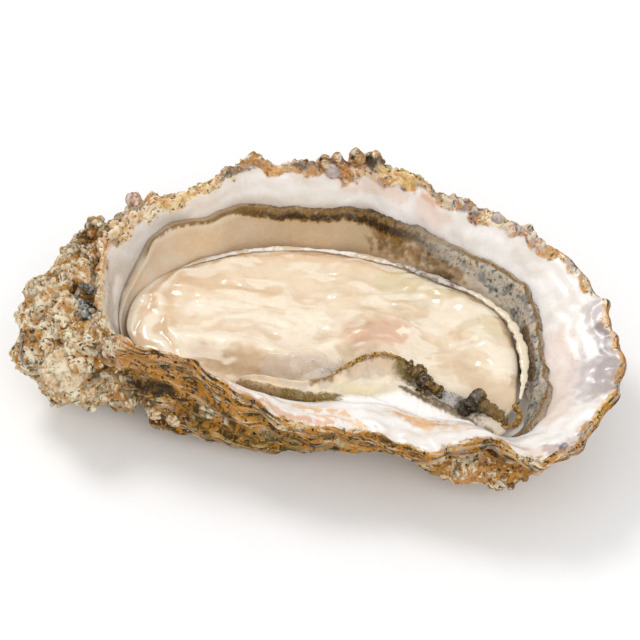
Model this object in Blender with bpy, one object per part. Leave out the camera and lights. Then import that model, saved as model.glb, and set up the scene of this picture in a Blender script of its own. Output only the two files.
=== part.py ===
"""Oyster on the half shell: a cupped lower valve with the shucked oyster lying in it.

The shell lies along X, with the hinge at -X and the growing edge, the bill, at +X. The far
side is +Y. Z is up from the flat spot that the shell rests on. The tables are drawn in
millimetres for a shell of the drawn length, and MM turns them into metres at the real one.
"""
import math

import bmesh
import bpy
import numpy as np
from mathutils import Vector, noise
from mathutils.bvhtree import BVHTree

for old in list(bpy.data.objects):
    bpy.data.objects.remove(old)
COLLECTION = bpy.data.collections.new("oyster_on_half_shell")
bpy.context.scene.collection.children.link(COLLECTION)

SHELL_LENGTH = 0.1126
DRAWN_LENGTH = 112.6
MM = SHELL_LENGTH / DRAWN_LENGTH

# Rim of the shell, anticlockwise from the bill as seen from above: X, Y and height.
RIM = [
    (55.3, -6.5, 19.5),
    (53.1, 3.2, 20.6),
    (48.0, 12.0, 21.8),
    (41.6, 18.7, 23.2),
    (34.0, 22.0, 24.8),
    (26.0, 24.0, 26.3),
    (18.1, 27.3, 27.5),
    (11.7, 28.8, 28.5),
    (5.7, 30.6, 30.0),
    (-2.8, 29.0, 30.0),
    (-12.4, 27.9, 29.0),
    (-20.4, 26.4, 29.2),
    (-25.5, 21.4, 27.8),
    (-32.1, 17.3, 27.0),
    (-37.5, 13.2, 27.0),
    (-41.5, 6.4, 26.0),
    (-40.0, -4.5, 23.7),
    (-36.0, -15.9, 25.0),
    (-29.0, -19.0, 24.0),
    (-21.5, -19.9, 24.0),
    (-15.7, -22.7, 22.0),
    (-8.5, -25.6, 20.0),
    (-1.7, -27.2, 18.0),
    (8.0, -27.4, 17.0),
    (17.8, -28.6, 16.5),
    (24.1, -30.4, 17.0),
    (29.1, -29.8, 20.0),
    (34.5, -29.3, 20.0),
    (41.0, -30.0, 17.0),
    (46.2, -27.0, 17.2),
    (50.2, -21.8, 17.7),
    (53.5, -15.4, 18.6),
]

# Cross sections of the shell wall, each at a rim station. Inside: the lip's width and the
# height at its inner end, then the wall's width down to the floor. Outside: how far beyond
# the rim (negative is under it) and how high the shoulder, belly and underside are, and
# how far in the flat foot starts.
SECTIONS = [
    # station, lip, lip height, wall, shoulder, belly, underside, foot
    (0, 13.0, 12.8, 11.0, (-0.5, 17.2), (-5.0, 12.0), (-13.0, 6.5), -24.0),
    (3, 7.0, 16.2, 10.0, (0.5, 19.5), (-3.0, 13.0), (-9.0, 6.5), -19.0),
    (8, 3.6, 21.5, 13.0, (0.2, 26.5), (-2.0, 17.0), (-7.0, 6.5), -15.0),
    (12, 1.8, 23.0, 9.0, (2.5, 25.0), (1.5, 16.0), (-3.0, 6.5), -10.0),
    (15, 2.2, 20.0, 9.0, (4.2, 24.8), (7.6, 15.5), (3.0, 6.5), -9.0),
    (16, 1.2, 17.0, 7.0, (8.5, 22.3), (15.6, 15.4), (11.6, 7.4), -6.0),
    (16.7, 2.0, 18.5, 8.5, (5.4, 21.2), (11.3, 13.2), (9.6, 7.0), -8.0),
    (17.4, 2.0, 20.0, 9.0, (0.9, 20.0), (0.2, 13.0), (-1.8, 6.6), -8.0),
    (18.4, 2.0, 20.0, 9.0, (0.9, 20.3), (1.8, 12.0), (1.5, 5.2), -6.0),
    (19.4, 2.0, 20.0, 9.0, (0.8, 20.5), (1.4, 12.0), (0.8, 4.8), -5.0),
    (22, 8.5, 13.6, 6.0, (0.2, 14.5), (-2.2, 9.0), (-5.8, 3.4), -11.0),
    (24, 11.5, 14.0, 6.0, (-0.4, 13.5), (-4.2, 10.0), (-9.5, 5.0), -14.0),
    (27.0, 9.5, 15.0, 7.0, (-2.2, 17.0), (-4.8, 12.8), (-1.8, 8.4), -14.0),
    (29, 8.0, 14.0, 14.0, (-0.8, 15.0), (-3.6, 11.2), (-6.5, 6.8), -18.0),
    (31, 10.0, 13.4, 13.0, (-0.8, 15.2), (-5.0, 11.5), (-13.0, 6.5), -22.0),
]
WALL_BEND = (0.34, 0.40)  # share of the wall's width and height at its steepest part's end
RIM_THICKNESS = 1.7
FLOOR_HEIGHT = 5.5
FLOOR_DIP = 0.7

# Underside: height at the foot's edge, how far the middle would sag below it, and how much
# the keel rises towards both ends. What would sag below 0 is the flat spot.
FOOT_HEIGHT = 0.9
FOOT_SAG = 1.15
KEEL_RISE = 2.4
KEEL_HALF_LENGTH = 28.0

# Line under the deepest part of the cup that every cross section starts from.
SPINE_SHARE = 0.5
SPINE_Y = -3.0
SPINE_SLOPE = -0.03

# Rim waves: how many round the rim, their phase, and how far they go outward and upward.
RIM_WAVES = [(23, 0.4, 0.35, 0.25), (37, 1.9, 0.30, 0.30), (11, 2.7, 0.25, 0.20)]

# Growth plates on the outside of the shell.
PLATE_SPACING = 4.6
PLATE_HEIGHT = 1.3
PLATE_WAVES = [(3, 1.0, 0.35), (7, 0.2, 0.20), (13, 2.2, 0.10)]
CRUST_SIZE = 4.4
CRUST_HEIGHT = 1.5
HINGE_CRUST_HEIGHT = 1.8

RIM_LIFT = 0.8
RIM_LIFT_REACH = 5.0

# Growths on the shell's outside: X, Y, Z, radius and height.
LUMPS = [
    (-44.0, -20.0, 15.0, 7.5, 3.4),  # barnacle cluster beside the hinge
    (-53.5, -14.0, 13.5, 6.0, 2.4),  # oval shell on the hinge's end
    (-49.5, -6.0, 20.5, 3.0, 1.2),
    (-45.5, 0.5, 23.0, 2.6, 1.2),
    (-44.5, 8.5, 24.0, 2.4, 1.3),
    (-40.5, 13.0, 25.0, 2.2, 1.1),
    (-34.5, 16.8, 26.5, 2.0, 1.0),
    (-37.9, 15.1, 27.2, 2.2, 2.2),  # single barnacle on the far rim
    (-16.5, 27.5, 28.6, 2.8, 1.5),
    (-0.5, 29.0, 30.2, 2.8, 2.0),
    (6.5, 30.2, 30.2, 2.8, 1.3),
    (13.5, 28.2, 27.8, 2.6, 0.9),
    (22.0, 24.6, 24.6, 2.4, 1.1),
    (27.9, 23.0, 24.0, 2.2, 1.1),
    (34.0, 21.2, 22.8, 2.4, 1.0),
    (39.0, 18.9, 21.8, 2.0, 0.9),
    (28.0, -29.0, 10.0, 3.0, 1.2),
    (34.0, -29.0, 9.7, 3.4, 1.2),
    (40.0, -28.0, 9.3, 2.8, 1.0),
]

# The oyster's body: top edge as seen from above, anticlockwise from the bill end.
BODY_EDGE = [
    (37.4, -8.0, 13.4),
    (37.2, -2.0, 13.7),
    (35.7, 2.6, 14.0),
    (33.7, 6.7, 14.5),
    (29.1, 10.9, 14.6),
    (21.5, 14.6, 14.9),
    (13.5, 17.6, 15.1),
    (3.3, 19.5, 15.3),
    (-6.0, 19.9, 15.3),
    (-16.8, 18.0, 15.1),
    (-22.4, 15.4, 15.1),
    (-27.8, 12.6, 15.0),
    (-33.0, 8.8, 14.8),
    (-36.3, 2.8, 14.4),
    (-36.1, -4.2, 14.0),
    (-30.7, -10.0, 13.6),
    (-23.0, -12.0, 13.5),
    (-16.0, -13.4, 13.1),
    (-9.1, -14.4, 12.8),
    (-1.5, -15.4, 12.6),
    (6.7, -15.0, 12.5),
    (16.5, -14.2, 12.5),
    (26.0, -15.0, 12.4),
    (33.0, -16.6, 12.2),
    (37.0, -13.5, 12.9),
]
BODY_TOP = 13.7
BODY_CENTRE_SHARE = 0.3
BODY_CENTRE_Y = 0.5
EDGE_ROUNDING = 1.3
FLESH_GAP = 0.45

# Folds of the body: height, half width and course from above.
FOLDS = [
    (1.1, 2.0, [(-25.5, -5.8), (-14.3, -5.7), (-4.5, -8.3), (2.5, -4.8), (8.0, -1.5)]),
    (1.2, 4.5, [(9.5, 0.2), (15.5, 0.8)]),
    (-1.1, 2.6, [(-21.0, -10.0), (-8.0, -12.2), (3.0, -11.0)]),
    (0.6, 1.6, [(-28.0, 10.5), (-17.0, 15.2), (-6.0, 17.0), (5.0, 16.2), (14.0, 14.2), (27.0, 9.0)]),
    (0.7, 1.6, [(-32.5, 4.0), (-29.0, 0.5), (-28.0, -4.0)]),
    (0.5, 1.5, [(-28.0, 7.5), (-22.0, 5.5), (-16.0, 7.5), (-8.0, 7.0)]),
    (0.5, 1.7, [(2.0, 8.5), (11.0, 9.0), (20.0, 6.0), (26.0, 5.0)]),
    (-0.6, 1.5, [(18.5, -3.5), (24.0, -2.0), (29.0, -5.5)]),
    (0.5, 1.5, [(29.0, 2.5), (33.0, -2.5), (33.5, -8.0)]),
    (-1.2, 4.6, [(8.5, -11.5), (16.0, -11.5), (25.0, -15.0), (34.0, -17.0)]),
]

# Mantle on the far wall and round the bill: rim station, height of its lower edge in the
# groove beside the body, and height of its dark edge on the wall.
FAR_MANTLE = [
    (-2.4, 10.0, 13.6),
    (-1.6, 9.2, 13.6),
    (-0.8, 8.6, 13.5),
    (0.0, 8.6, 13.3),
    (1.0, 8.8, 14.2),
    (2.0, 9.2, 15.6),
    (3.0, 9.6, 17.0),
    (4.0, 9.8, 18.2),
    (5.0, 10.0, 19.4),
    (6.0, 10.6, 20.3),
    (8.0, 11.2, 21.0),
    (10.0, 11.0, 21.2),
    (12.0, 10.5, 21.8),
    (13.0, 11.0, 21.8),
    (14.3, 12.8, 20.6),
]
FAR_SECTION = [  # share of the way up from the lower edge, and thickness
    (0.0, 0.5),
    (0.16, 1.1),
    (0.38, 1.3),
    (0.6, 1.1),
    (0.7, 1.6),
    (0.8, 1.1),
    (0.9, 1.3),
    (1.0, 1.9),
]
FAR_STATIONS = 84
FRILL_WAVES = [(29, 0.3, 0.12), (47, 1.1, 0.10)]

# Near flap of the mantle: beaded fringe on the body, and outer edge on the near lip.
NEAR_MANTLE = [
    ((-13.5, -14.3), (-13.5, -15.0)),
    ((-11.0, -13.9), (-11.0, -15.9)),
    ((-5.0, -14.6), (-5.5, -17.6)),
    ((0.5, -14.0), (1.0, -18.2)),
    ((3.5, -12.4), (4.5, -18.1)),
    ((6.0, -10.0), (7.5, -17.9)),
    ((8.8, -7.4), (10.5, -17.5)),
    ((12.0, -6.2), (14.0, -17.1)),
    ((15.1, -6.6), (17.0, -17.0)),
    ((17.7, -8.2), (19.5, -17.3)),
    ((20.7, -10.3), (22.5, -17.9)),
    ((23.6, -12.5), (25.5, -18.7)),
    ((27.4, -14.2), (28.5, -19.6)),
    ((31.0, -15.0), (31.5, -20.4)),
    ((34.3, -16.4), (34.3, -20.6)),
    ((36.4, -18.4), (36.2, -19.4)),
]
NEAR_STATIONS = 66
NEAR_TIP_STATIONS = 6
NEAR_BOTTOM = 12.9
NEAR_CLEARANCE = [(0.0, 0.0), (0.9, 0.0), (-0.9, 0.0), (0.0, 0.9), (0.0, -0.9)]
NEAR_SECTION = [  # share of the way from the fringe to the outer edge, and thickness
    (0.0, 1.7),
    (0.13, 2.1),
    (0.3, 1.2),
    (0.55, 1.3),
    (0.8, 1.4),
    (1.0, 0.7),
]
NEAR_LUMPS = [(31.0, -14.0, 1.8, 2.8), (20.3, -10.8, 2.0, 1.0)]  # X, Y, radius, height

# Middle of the whole's bounding box, which becomes the origin.
MIDDLE = (0.1, 0.5, 0.0)

TIP_REACH = 0.6  # share of a strip's last step that its tip goes beyond it

SHELL_SECTIONS = 112
SHELL_STEPS = (1, 2, 4, 4, 3, 1, 2, 5, 5, 4, 2, 1)
BODY_SECTIONS = 72
BODY_ROWS = (0.0, 0.14, 0.28, 0.42, 0.55, 0.66, 0.76, 0.85, 0.92, 0.97, 1.0)
BODY_UNDER_ROWS = (0.97, 0.85, 0.6, 0.3, 0.0)


def through_line(stops, values, where):
    """Smooth open curve through values at stops, read at where."""
    stops = np.asarray(stops, float)
    values = np.asarray(values, float)
    tangent = np.gradient(values, stops, axis=0)
    i = np.clip(np.searchsorted(stops, where, side="right") - 1, 0, len(stops) - 2)
    gap = (stops[i + 1] - stops[i])[:, None]
    u = (np.asarray(where, float) - stops[i])[:, None] / gap
    return (
        (2 * u**3 - 3 * u**2 + 1) * values[i]
        + (u**3 - 2 * u**2 + u) * gap * tangent[i]
        + (3 * u**2 - 2 * u**3) * values[i + 1]
        + (u**3 - u**2) * gap * tangent[i + 1]
    )


def through_loop(stops, values, where):
    """Smooth closed curve through values at stops of a loop of length 1, read at where."""
    stops = np.asarray(stops, float)
    values = np.asarray(values, float)
    wrapped = np.concatenate([stops[-3:] - 1.0, stops, stops[:3] + 1.0])
    around = np.concatenate([values[-3:], values, values[:3]])
    where = np.mod(np.asarray(where, float) - stops[0], 1.0) + stops[0]
    return through_line(wrapped, around, where)


def loop_stops(points):
    """Share of a closed outline's length at which each of its points stands."""
    points = np.array(points)
    steps = np.linalg.norm(np.roll(points, -1, axis=0) - points, axis=1)
    return np.concatenate([[0.0], np.cumsum(steps)[:-1]]) / steps.sum()


def share_of_station(station):
    """Share of the rim's length at a rim station, which may lie between two or before 0."""
    stops = loop_stops(RIM)
    wrapped = np.concatenate([stops - 1.0, stops, [1.0]])
    return np.interp(station, np.arange(-len(RIM), len(RIM) + 1), wrapped)


def rim_at(share):
    return through_loop(loop_stops(RIM), RIM, share)


def section_at(share):
    """The columns of SECTIONS as smooth functions of the share of the rim's length."""
    at = share_of_station([row[0] for row in SECTIONS])
    flat = [[*row[1:4], *row[4], *row[5], *row[6], row[7]] for row in SECTIONS]
    return through_loop(at, flat, share)


def waves(share, table):
    """Sum of sine waves round the shell: each row is a count, a phase and a height."""
    return sum(height * np.sin(math.tau * count * share + phase) for count, phase, height in table)


def section_lines(share):
    """Where each cross section starts on the spine, its outward direction, reach and height."""
    rim = rim_at(share)
    start = np.empty((len(rim), 2))
    start[:, 0] = SPINE_SHARE * rim[:, 0]
    start[:, 1] = SPINE_Y + SPINE_SLOPE * start[:, 0]
    out = rim[:, :2] - start
    reach = np.linalg.norm(out, axis=1)
    return start, out / reach[:, None], reach, rim[:, 2]


def spline_rows(knots, steps):
    """Centripetal Catmull-Rom rows through knots (knot, section, 2), with steps between them."""
    first = 2 * knots[0] - knots[1]
    last = 2 * knots[-1] - knots[-2]
    k = np.concatenate([first[None], knots, last[None]])
    rows = [k[1]]
    for i, n in enumerate(steps):
        a, b, c, d = k[i : i + 4]
        t1 = np.linalg.norm(b - a, axis=1, keepdims=True) ** 0.5 + 1e-9
        t2 = t1 + np.linalg.norm(c - b, axis=1, keepdims=True) ** 0.5 + 1e-9
        t3 = t2 + np.linalg.norm(d - c, axis=1, keepdims=True) ** 0.5 + 1e-9
        for s in range(1, n + 1):
            t = t1 + (t2 - t1) * s / n
            p = (t1 - t) / t1 * a + t / t1 * b
            q = (t2 - t) / (t2 - t1) * b + (t - t1) / (t2 - t1) * c
            r = (t3 - t) / (t3 - t2) * c + (t - t2) / (t3 - t2) * d
            pq = (t2 - t) / t2 * p + t / t2 * q
            qr = (t3 - t) / (t3 - t1) * q + (t - t1) / (t3 - t1) * r
            rows.append((t2 - t) / (t2 - t1) * pq + (t - t1) / (t2 - t1) * qr)
    return np.array(rows)


def shell_rows(share, steps):
    """Points of the bare shell, row by row from the cup's floor over the rim to the foot."""
    start, out, reach, height = section_lines(share)
    s = section_at(share)
    lip, lip_height, wall = s[:, 0], s[:, 1], s[:, 2]
    outward = waves(share, [(count, phase, out_by) for count, phase, out_by, up_by in RIM_WAVES])
    upward = waves(share, [(count, phase + 1.0, up_by) for count, phase, out_by, up_by in RIM_WAVES])
    bend_width, bend_height = WALL_BEND
    level = np.zeros_like(reach)
    keel = KEEL_RISE * (start[:, 0] / KEEL_HALF_LENGTH) ** 2
    knots = [
        (level, level + FLOOR_HEIGHT - FLOOR_DIP),
        ((reach - lip - wall) * 0.55, level + FLOOR_HEIGHT - 0.6 * FLOOR_DIP),
        (reach - lip - wall, level + FLOOR_HEIGHT),
        (reach - lip - bend_width * wall, FLOOR_HEIGHT + bend_height * (lip_height - FLOOR_HEIGHT)),
        (reach - lip, lip_height),
        (reach + outward, height + upward),
        (reach + 0.35 * RIM_THICKNESS + outward, height - RIM_THICKNESS + upward),
        (reach + s[:, 3], s[:, 4]),
        (reach + s[:, 5], s[:, 6]),
        (reach + s[:, 7], s[:, 8]),
        (reach + s[:, 9], keel + FOOT_HEIGHT),
        ((reach + s[:, 9]) * 0.45, keel + FOOT_HEIGHT - FOOT_SAG),
        (level, keel + FOOT_HEIGHT - FOOT_SAG),
    ]
    rows = spline_rows(np.array([np.stack(k, axis=1) for k in knots]), steps)
    points = np.empty((len(rows), len(share), 3))
    points[..., :2] = start + rows[..., :1] * out
    points[..., 2] = rows[..., 1]
    return points


def grid_normals(grid):
    """Outward normals of a closed grid whose segments wrap round."""
    down = np.gradient(grid, axis=0)
    along = np.roll(grid, -1, axis=1) - np.roll(grid, 1, axis=1)
    normal = np.cross(down, along)
    return normal / np.maximum(np.linalg.norm(normal, axis=2, keepdims=True), 1e-9)


def ramp(low, high, value):
    t = np.clip((value - low) / (high - low), 0.0, 1.0)
    return t * t * (3.0 - 2.0 * t)


def noise_at(points, size):
    flat = points.reshape(-1, 3) / size
    return np.array([noise.noise(Vector(p)) for p in flat]).reshape(points.shape[:-1])


def bump(distance, radius):
    return ramp(0.0, 1.0, 1.0 - distance / radius)


def depth_below_rim(points, rim_row):
    """Distance of each point from the rim along its cross section, negative inside."""
    steps = np.linalg.norm(np.diff(points, axis=0), axis=2)
    along = np.concatenate([np.zeros((1, points.shape[1])), np.cumsum(steps, axis=0)])
    return along - along[rim_row]


def relief_direction(points, rim_row):
    """Outward, and also upward near the rim."""
    near = bump(np.abs(depth_below_rim(points, rim_row)), RIM_LIFT_REACH)
    return grid_normals(points) + near[..., None] * np.array((0.0, 0.0, RIM_LIFT))


def shell_relief(points, share, rim_row):
    """Growth plates, crust and growths: how far each point of the outside stands out."""
    depth = depth_below_rim(points, rim_row)
    phase = depth / PLATE_SPACING + waves(share, PLATE_WAVES)
    turn = phase - np.floor(phase)
    plates = (ramp(0.0, 0.25, turn) - turn - 0.35) * PLATE_HEIGHT
    crust = noise_at(points, CRUST_SIZE) * CRUST_HEIGHT
    hinge = ramp(-30.0, -42.0, points[..., 0])
    crust += hinge * noise_at(points + 40.0, 0.6 * CRUST_SIZE) * HINGE_CRUST_HEIGHT
    height = (plates + crust) * ramp(0.5, 3.5, depth)
    for x, y, z, radius, tall in LUMPS:
        height += tall * bump(np.linalg.norm(points - (x, y, z), axis=2), radius) * ramp(-1.0, 1.0, depth)
    return height * ramp(0.8, 4.0, points[..., 2])


def make_shell():
    share = np.arange(SHELL_SECTIONS) / SHELL_SECTIONS
    grid = shell_rows(share, SHELL_STEPS)
    rim_row = sum(SHELL_STEPS[:5])
    grid += relief_direction(grid, rim_row) * shell_relief(grid, share, rim_row)[..., None]
    grid[..., 2] = np.maximum(grid[..., 2], 0.0)
    grid[-1, :, 2] = 0.0
    return closed_body("shell", grid, painted("shell", (0.55, 0.47, 0.36), 0.6))


def closed_body(name, grid, material):
    """A UV sphere moved to a grid whose number of segments is a multiple of four."""
    rows, segments = grid.shape[:2]
    bm = bmesh.new()
    bmesh.ops.create_uvsphere(bm, u_segments=segments, v_segments=rows - 1, radius=1.0)
    for vert in bm.verts:
        row = round(math.acos(max(-1.0, min(1.0, vert.co.z))) / math.pi * (rows - 1))
        segment = round(math.atan2(vert.co.y, vert.co.x) / math.tau * segments) % segments
        pole = row in (0, rows - 1)
        vert.co = Vector((grid[row].mean(axis=0) if pole else grid[row, segment]) - MIDDLE) * MM
    mesh = bpy.data.meshes.new(name)
    bm.to_mesh(mesh)
    bm.free()
    mesh.shade_smooth()
    mesh.materials.append(material)
    obj = bpy.data.objects.new(name, mesh)
    COLLECTION.objects.link(obj)
    return obj


def painted(name, colour, roughness):
    material = bpy.data.materials.new(name)
    material.use_nodes = True
    shader = material.node_tree.nodes["Principled BSDF"]
    shader.inputs["Base Color"].default_value = (*colour, 1.0)
    shader.inputs["Roughness"].default_value = roughness
    return material


def heights_of(objects):
    """Trees of the objects' faces, for finding how high they stand at a point."""
    trees = []
    for obj in objects:
        mesh = obj.data
        corners = [v.co for v in mesh.vertices]
        trees.append(BVHTree.FromPolygons(corners, [p.vertices for p in mesh.polygons]))
    return trees


def height_at(trees, points, above=20.0):
    """Height of the highest face under each point of an array of (x, y, ...), in millimetres."""
    found = np.zeros(points.shape[:-1])
    for index in np.ndindex(found.shape):
        x, y = points[index][:2]
        start = Vector((x - MIDDLE[0], y - MIDDLE[1], above)) * MM
        hits = [tree.ray_cast(start, Vector((0, 0, -1)))[0] for tree in trees]
        found[index] = max(hit.z for hit in hits if hit is not None) / MM
    return found


def line_distance(points, line):
    """Distance from each point to a line of corners, as seen from above."""
    best = np.full(points.shape[:-1], np.inf)
    for a, b in zip(np.array(line), np.array(line[1:])):
        along = np.clip(((points[..., :2] - a) @ (b - a)) / ((b - a) @ (b - a)), 0.0, 1.0)
        gap = points[..., :2] - a - along[..., None] * (b - a)
        best = np.minimum(best, np.linalg.norm(gap, axis=-1))
    return best


def body_top(points, edge_height, rows):
    """Height of the body's top: its edge, its folds and the rounding at its edge."""
    height = BODY_TOP + (edge_height - BODY_TOP) * ramp(0.5, 1.0, rows)
    for tall, half_width, line in FOLDS:
        height += tall * np.exp(-((line_distance(points, line) / half_width) ** 2))
    inner = np.clip((rows - 0.85) / 0.15, 0.0, 1.0)
    return height - EDGE_ROUNDING * (1.0 - np.sqrt(1.0 - inner**2))


def make_body(shell):
    share = np.arange(BODY_SECTIONS) / BODY_SECTIONS
    edge = through_loop(loop_stops(BODY_EDGE), BODY_EDGE, share)
    centre = np.stack([BODY_CENTRE_SHARE * edge[:, 0], np.full(len(edge), BODY_CENTRE_Y)], axis=1)
    rows = np.array(BODY_ROWS + BODY_UNDER_ROWS)[:, None]
    grid = np.zeros((len(rows), len(share), 3))
    grid[..., :2] = centre + rows[..., None] * (edge[:, :2] - centre)
    grid[0] = grid[-1] = (0.0, BODY_CENTRE_Y, 0.0)
    floor = height_at(heights_of([shell]), grid) + FLESH_GAP
    top = body_top(grid, edge[:, 2], rows)
    count = len(BODY_ROWS)
    grid[:count, :, 2] = top[:count]
    grid[count:, :, 2] = floor[count:]
    return closed_body("oyster_body", grid, painted("oyster_body", (0.83, 0.76, 0.63), 0.25))


def closed_strip(name, sections, material):
    """A closed body from cross sections, drawn together to a point at both ends."""
    grid = np.array(sections)
    first, second, last_but_one, last = grid[[0, 1, -2, -1]].mean(axis=1)
    start = np.broadcast_to(first + TIP_REACH * (first - second), grid[:1].shape)
    end = np.broadcast_to(last + TIP_REACH * (last - last_but_one), grid[:1].shape)
    return closed_body(name, np.concatenate([start, grid, end]), material)


def inside_profile(share):
    """The shell's inside at one share of the rim, floor to rim, with its normals."""
    steps = (2, 4, 12, 12, 10, 1, 1, 1, 1, 1, 1, 1)
    shares = share + np.array([-0.002, 0.0, 0.002])
    rows = shell_rows(shares, steps)[: sum(steps[:5]) + 1]
    normal = np.cross(np.gradient(rows[:, 1], axis=0), rows[:, 2] - rows[:, 0])
    return rows[:, 1], normal / np.linalg.norm(normal, axis=1, keepdims=True)


def make_far_mantle():
    table = np.array(FAR_MANTLE)
    stops = share_of_station(table[:, 0])
    shares = np.linspace(stops[0], stops[-1], FAR_STATIONS)
    edges = through_line(stops, table[:, 1:], shares)
    part_way = np.linspace(0.0, 1.0, FAR_STATIONS)
    grow = ramp(-0.02, 0.10, part_way) * ramp(1.02, 0.90, part_way)
    sections = []
    for share, (low, high), full in zip(shares, edges, grow):
        points, normals = inside_profile(share)
        middle = 0.5 * (low + high)
        low, high = middle + (low - middle) * full, middle + (high - middle) * full
        high += waves(share, FRILL_WAVES) * full
        climb = np.maximum.accumulate(points[:, 2]) + 1e-6 * np.arange(len(points))
        front, back = [], []
        for part, thick in FAR_SECTION:
            at = np.interp(low + (high - low) * part, climb, np.arange(len(points)))
            index = np.arange(len(points))
            point = np.array([np.interp(at, index, points[:, k]) for k in range(3)])
            normal = np.array([np.interp(at, index, normals[:, k]) for k in range(3)])
            back.append(point + normal * FLESH_GAP)
            front.append(point + normal * (FLESH_GAP + thick * (0.4 + 0.6 * full)))
        sections.append(back + front[::-1])
    return closed_strip("mantle_far", sections, painted("mantle_far", (0.66, 0.56, 0.42), 0.35))


def make_near_mantle(shell, body):
    fringe = np.array([a for a, b in NEAR_MANTLE])
    outer = np.array([b for a, b in NEAR_MANTLE])
    stops = np.concatenate([[0.0], np.cumsum(np.linalg.norm(np.diff(fringe, axis=0), axis=1))])
    where = np.linspace(0.0, stops[-1], NEAR_STATIONS)
    fringe, outer = through_line(stops, fringe, where), through_line(stops, outer, where)
    trees = heights_of([shell, body])
    sections = []
    for i, (a, b) in enumerate(zip(fringe, outer)):
        full = min(1.0, (i + 1) / NEAR_TIP_STATIONS, (NEAR_STATIONS - i) / NEAR_TIP_STATIONS)
        plan = np.array([a + (b - a) * part for part, thick in NEAR_SECTION])
        thick = np.array([thick for part, thick in NEAR_SECTION]) * full
        for x, y, radius, tall in NEAR_LUMPS:
            thick = thick + tall * bump(np.linalg.norm(plan - (x, y), axis=1), radius)
        around = height_at(trees, plan[:, None] + np.array(NEAR_CLEARANCE))
        bottom = np.maximum(around.max(axis=1) + FLESH_GAP, NEAR_BOTTOM)
        under = [(*p, z) for p, z in zip(plan, bottom)]
        top = [(*p, z + t) for p, z, t in zip(plan, bottom, thick)]
        sections.append(under + top[::-1])
    return closed_strip("mantle_near", sections, painted("mantle_near", (0.62, 0.55, 0.40), 0.35))


def main():
    shell = make_shell()
    body = make_body(shell)
    make_far_mantle()
    make_near_mantle(shell, body)


main()
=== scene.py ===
"""Looks of the oyster on the half shell: pearly cupped shell, wet flesh, crust and growths.

Tables are in millimetres, in the frame that the solids are drawn in: X towards the bill, +Y to
the far side, Z up from the underside. MIDDLE moves that frame to the object's origin. The shell,
the body and the near flap repeat the solids' tables at a finer pitch. The far mantle follows its
solid by a table of its own. All add relief that the solids leave out.
"""

import math

import bmesh
import bpy
import numpy as np
from mathutils import Matrix, Vector, noise
from mathutils.bvhtree import BVHTree


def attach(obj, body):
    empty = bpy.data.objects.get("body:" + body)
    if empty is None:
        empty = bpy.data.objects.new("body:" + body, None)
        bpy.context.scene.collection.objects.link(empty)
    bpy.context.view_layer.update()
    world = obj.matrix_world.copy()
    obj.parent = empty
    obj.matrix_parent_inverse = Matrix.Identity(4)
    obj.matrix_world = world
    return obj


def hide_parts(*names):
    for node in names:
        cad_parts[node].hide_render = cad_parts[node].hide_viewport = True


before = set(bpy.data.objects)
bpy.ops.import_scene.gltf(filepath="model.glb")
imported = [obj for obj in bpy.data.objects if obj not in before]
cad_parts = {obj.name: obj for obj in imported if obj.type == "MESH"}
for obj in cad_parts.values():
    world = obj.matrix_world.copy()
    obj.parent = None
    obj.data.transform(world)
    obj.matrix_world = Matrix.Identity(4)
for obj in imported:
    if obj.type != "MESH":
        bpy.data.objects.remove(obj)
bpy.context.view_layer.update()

SHELL_LENGTH = 0.1126
DRAWN_LENGTH = 112.6
MM = SHELL_LENGTH / DRAWN_LENGTH

# Rim of the shell, anticlockwise from the bill as seen from above: X, Y and height.
RIM = [
    (55.3, -6.5, 19.5),
    (53.1, 3.2, 20.6),
    (48.0, 12.0, 21.8),
    (41.6, 18.7, 23.2),
    (34.0, 22.0, 24.8),
    (26.0, 24.0, 26.3),
    (18.1, 27.3, 27.5),
    (11.7, 28.8, 28.5),
    (5.7, 30.6, 30.0),
    (-2.8, 29.0, 30.0),
    (-12.4, 27.9, 29.0),
    (-20.4, 26.4, 29.2),
    (-25.5, 21.4, 27.8),
    (-32.1, 17.3, 27.0),
    (-37.5, 13.2, 27.0),
    (-41.5, 6.4, 26.0),
    (-40.0, -4.5, 23.7),
    (-36.0, -15.9, 25.0),
    (-29.0, -19.0, 24.0),
    (-21.5, -19.9, 24.0),
    (-15.7, -22.7, 22.0),
    (-8.5, -25.6, 20.0),
    (-1.7, -27.2, 18.0),
    (8.0, -27.4, 17.0),
    (17.8, -28.6, 16.5),
    (24.1, -30.4, 17.0),
    (29.1, -29.8, 20.0),
    (34.5, -29.3, 20.0),
    (41.0, -30.0, 17.0),
    (46.2, -27.0, 17.2),
    (50.2, -21.8, 17.7),
    (53.5, -15.4, 18.6),
]

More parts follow.
